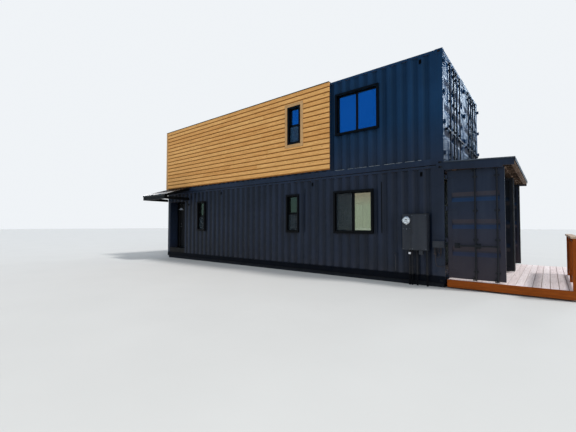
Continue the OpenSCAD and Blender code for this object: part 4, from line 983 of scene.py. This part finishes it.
def meter():
    """Round electricity meter: bright ring, white dial with plain pointers, rotor and a clear dome."""
    centre = (METER_X, METER_Y, METER_Z)
    ring = Sheet("meter_ring", BRIGHT, "bare_metal", smooth=True)
    dial = Sheet("meter_dial", WHITE, "bare_metal", smooth=True)
    ticks = Sheet("meter_ticks", RUBBER, "grey_metal")
    dome = Sheet("meter_dome", DOME, "glass", replaces=["meter_glass"], smooth=True)
    ring.lathe([(0.098, 0), (0.098, 0.020), (0.095, 0.028), (0.086, 0.030), (0.084, 0.026), (0.084, 0.000)], centre,
               FRONT, 48, hollow=True)
    ring.disc((METER_X, METER_Y - 0.013, METER_Z - 0.096), (0, 0, -1), 0.011, 0.018, 14)
    dial.lathe([(0.083, 0.001), (0.083, 0.040), (0.076, 0.045), (0.070, 0.046)], centre, FRONT, 48)
    y, z = METER_Y - 0.046, METER_Z - 0.030
    for k in range(5):
        x = METER_X + (k - 2) * 0.022
        ticks.lathe([(0.0095, 0), (0.0095, 0.0012), (0.0080, 0.0012), (0.0080, 0)], (x, y, z), FRONT, 20, hollow=True)
        turn = 0.9 + 1.3 * k
        hub = Vector((x, y - 0.0008, z))
        ticks.tube([hub, hub + 0.0070 * Vector((math.cos(turn), 0, math.sin(turn)))], 0.0009, 5)
    ticks.box((METER_X - 0.030, y - 0.0010, METER_Z + 0.004), (METER_X + 0.030, y, METER_Z + 0.026), 0.0003)
    ticks.lathe([(0.046, 0.008), (0.046, 0.0092), (0.010, 0.0092), (0.010, 0.008)], (METER_X, METER_Y - 0.020, METER_Z),
                hollow=True)
    dome.lathe([(0.081, 0.028), (0.081, 0.094), (0.076, 0.104), (0.064, 0.1095), (0.004, 0.1105), (0.004, 0.1085),
                (0.063, 0.1075), (0.0745, 0.1022), (0.079, 0.093), (0.079, 0.028)], centre, FRONT, 48, hollow=True)


def pipes():
    """Conduit fittings and straps, pipe loops under the corner box and a hose tap."""
    white = Sheet("white_fittings", WHITE, "grey_metal", smooth=True)
    fittings = Sheet("conduit_fittings", RODS, "grey_metal", smooth=True)
    cables = Sheet("service_cables", CABLE, "grey_metal", smooth=True)
    back, front = PIPE_Y - 0.0005, PIPE_Y + 0.0015
    for x in (5.272, 5.335, 5.459, 5.699):
        for z, h in ((PANEL_Z0 - 0.055, 0.055), (0.42, 0.045)):
            fittings.lathe([(PIPE_R, 0), (0.030, 0.002), (0.030, h - 0.003), (PIPE_R, h)], (x, PIPE_Y, z), sides=24)
        for z in (0.30, 0.72):
            fittings.box((x - 0.045, back, z), (x + 0.045, front, z + 0.022), 0.0006)
            fittings.box((x - 0.009, front, z + 0.002), (x + 0.009, -WALL_Y, z + 0.020), 0.001)
    white.lathe([(PIPE_R, 0), (0.0280, 0.002), (0.0280, 0.046), (PIPE_R, 0.050)], (5.272, PIPE_Y, 0.775), sides=24)
    top = 0.966
    for points in (((5.885, top), (5.890, 0.62), (5.925, 0.50), (6.020, 0.52), (6.092, 0.53)),
                   ((5.872, top), (5.868, 0.80), (5.930, 0.715), (6.010, 0.760), (6.030, 0.860), (6.000, top)),
                   ((5.950, top), (5.952, 0.85), (5.990, 0.82), (6.020, 0.87), (6.022, top))):
        cables.tube([(x, -2.500, z) for x, z in points], 0.006, 8, 0.06)
    cables.box((5.846, -2.510, 0.80), (5.905, -2.442, 0.825), 0.003)
    tap = Sheet("hose_tap", GREY, "grey_metal", smooth=True)
    x, y = 4.896, -2.478
    tap.tube([(x, y, 0.32), (x, y, 0.76), (x, y + 0.040, 0.76)], 0.010, 10, 0.020)
    tap.lathe([(0.016, 0), (0.018, 0.006), (0.018, 0.030), (0.013, 0.034)], (x, y, 0.735), sides=16)
    tap.tube([(x, y, 0.748), (x, y - 0.050, 0.748), (x, y - 0.062, 0.716)], 0.009, 10, 0.018)
    tap.lathe([(0.024, 0), (0.026, 0.003), (0.024, 0.007), (0.006, 0.007), (0.006, 0.002)], (x, y - 0.030, 0.778),
              sides=16)
    tap.tube([(x, y - 0.030, 0.750), (x, y - 0.030, 0.780)], 0.004, 8)


def vents():
    """Louvred hoods on the wall crests nearest to each vent's place."""
    hoods = Sheet("vent_louvres", BLACK, "black_metal", replaces=["wall_vents"])
    crest, pitch = -5.838, 0.278
    w, h, t, rim, face = 0.060, 0.110, 0.012, 0.005, WALL_Y
    for side in (-1, 1):
        for from_end, z0 in ((0.490, Z_LOW), (3.950, Z_LOW), (8.450, Z_LOW), (0.560, Z_UP)):
            x, z = crest + pitch * round((X_DECK - from_end - crest) / pitch), z0 + 2.650
            x0, x1 = x - w / 2, x + w / 2
            for a, b in border(x0, z, x1, z + h, *(rim,) * 4):
                hoods.side_box(side, (a[0], face, a[1]), (b[0], face + t, b[1]), 0.0008)
            hoods.side_box(side, (x0 + rim, face, z + rim), (x1 - rim, face + 0.0015, z + h - rim), 0.0004)
            for k in range(6):
                low = z + 0.007 + k * 0.0165
                louvre = [(face + 0.0015, low + 0.011), (face + 0.0030, low + 0.0125), (face + t - 0.001, low + 0.002),
                          (face + t - 0.0025, low)]
                hoods.solid(louvre, x0 + rim, x1 - rim, lambda along, u, v: (along, side * u, v))


CAST_H, CAST_PROUD, SLOT_DEPTH, SLOT_R, SLOT_HALF = 0.118, 0.006, 0.0255, 0.0242, 0.015
CORNERS = list(product((Z_LOW, Z_UP), (-1, 1), (-1, 1)))


def slots():
    """Dark sheets at the foot of the long slots of the corner castings: painted shade inside the hollow castings."""
    slot_shade = Sheet("casting_slot_shade", RUBBER, "steel")
    arc = [math.pi * (k / 8 - 0.5) for k in range(9)]
    oval = [(s * (SLOT_HALF + SLOT_R * math.cos(turn)), s * SLOT_R * math.sin(turn)) for s in (1, -1) for turn in arc]
    x, y = X_DECK - SLOT_DEPTH, Y_SIDE - SLOT_DEPTH
    for (z0, sx, sy), up in product(CORNERS, (CAST_H / 2, BOX_H - CAST_H / 2)):
        z = z0 + up
        for across in (sy * (Y_MID + 0.081), sy * (Y_SIDE - 0.081)):
            slot_shade.solid(oval, x, x + 0.002, lambda w, u, v: (sx * w, across + u, z + v))
        slot_shade.solid(oval, y, y + 0.002, lambda w, u, v: (sx * (X_DECK - 0.089) + u, sy * w, z + v))


def seams():
    """Pale broken beads on the rail top as a painted highlight of sky light on the ledge, weld beads at the castings
    and thin black strips on wall crests beside the windows.
    """
    highlight_beads = Sheet("rail_ledge_highlight", LEDGE_HIGHLIGHT, "steel", smooth=True)
    beads = Sheet("frame_welds", STEEL, "steel", smooth=True)
    strips = Sheet("wall_black_strips", BLACK, "steel")
    draw = random.Random(5)
    # Painted highlight: pale beads with gaps along the ledge of the upper storey's bottom rail.
    x, rail_top, wander = 3.05, 3.1600, 0.001
    while x < 5.5:
        end = x + draw.uniform(0.04, 0.30)
        run = [(x + k * (end - x) / 6, -2.4400 + draw.uniform(-wander, wander),
                rail_top + draw.uniform(-wander, wander)) for k in range(7)]
        highlight_beads.tube(run, draw.uniform(0.0045, 0.0065), 8)
        x = end + draw.uniform(0.01, 0.12)
    for (z0, sx, sy), up in product(CORNERS, (CAST_H, BOX_H - CAST_H)):
        x, y, z = sx * (X_DECK - CAST_PROUD), sy * (Y_SIDE - CAST_PROUD), z0 + up
        beads.tube([(sx * (X_DECK - 0.170), y, z), (x, y, z), (x, sy * (Y_SIDE - 0.150), z)], 0.004, 6)
    # Thin black strips on wall crests where dark lines run beside the windows.
    for x in (1.926, 4.506):
        strips.box((x - 0.012, -WALL_Y - 0.004, Z_LOW + 1.20), (x + 0.012, -WALL_Y, Z_LOW + 2.60), 0.0015)


panel()
meter()
pipes()
vents()
slots()
seams()
for sheet in Sheet.made:
    sheet.done()


# Stage: pale floor, studio light and a sky that only panes and paint mirror

def stage():
    s = Shader("studio_floor", Roughness=0.9)
    s.surface(Base_Color=s.mix(s.noise(0.6, detail=3), "cbc9c5", "d2d0cc"))
    mesh = bpy.data.meshes.new("floor")
    size = 160
    mesh.from_pydata([(-size, -size, 0), (size, -size, 0), (size, size, 0), (-size, size, 0)], [], [(0, 1, 2, 3)])
    mesh.materials.append(s.material)
    floor = bpy.data.objects.new("floor", mesh)
    bpy.context.scene.collection.objects.link(floor)


def sky():
    world = bpy.data.worlds.new("studio")
    bpy.context.scene.world = world
    world.use_nodes = True
    world.node_tree.nodes.clear()
    t = Nodes(world.node_tree)
    generated = t.add("ShaderNodeTexCoord").outputs["Generated"]
    height = t.add("ShaderNodeSeparateXYZ", Vector=generated).outputs["Z"]
    gradient = t.add("ShaderNodeValToRGB", Fac=height)
    low, high = gradient.color_ramp.elements
    low.position, low.color = 0.06, (0.80, 0.84, 0.80, 1)
    high.position, high.color = 0.26, (0.10, 0.38, 0.86, 1)
    soft, mirrored, seen = (t.add("ShaderNodeBackground", Color=colour, Strength=strength).outputs[0]
                            for colour, strength in (((0.86, 0.93, 1, 1), 0.72), (gradient.outputs[0], 0.72),
                                                     ((0.87, 0.9, 0.93, 1), 1)))
    path = t.add("ShaderNodeLightPath").outputs
    clear = t.join("ShaderNodeMath", path["Is Camera Ray"], path["Is Transmission Ray"], operation="MAXIMUM")
    lit = t.join("ShaderNodeMixShader", path["Is Glossy Ray"], soft, mirrored)
    t.add("ShaderNodeOutputWorld", Surface=t.join("ShaderNodeMixShader", clear, lit, seen))


def lights():
    for name, strength, spread, position, colour in (
            ("key", 2.1, 8, (5, 1.4, 7.5), (1, 1, 1)), ("fill", 0.55, 26, (9, -3.6, 3), (1, 1, 1)),
            ("rim", 0.35, 10, (2.2, 9, 3.2), (0.82, 0.92, 1))):
        light = bpy.data.lights.new(name, "SUN")
        light.energy, light.angle, light.color = strength, math.radians(spread), colour
        sun = bpy.data.objects.new(name, light)
        sun.rotation_euler = Vector(position).to_track_quat("Z", "Y").to_euler()
        bpy.context.scene.collection.objects.link(sun)


def camera():
    """The photograph's viewpoint, found by fitting the container corners."""
    photo_width, focal = 576, 325.6
    data = bpy.data.cameras.new("camera")
    data.sensor_width = 36
    data.lens = focal / photo_width * data.sensor_width
    data.clip_end = 500
    obj = bpy.data.objects.new("camera", data)
    obj.location = (8.072, -10.975, 1.499)
    obj.rotation_euler = [math.radians(turn) for turn in (91.69, -0.04, 38.74)]
    bpy.context.scene.collection.objects.link(obj)
    bpy.context.scene.camera = obj


stage()
sky()
lights()
camera()
bpy.context.scene.view_settings.view_transform = "Standard"
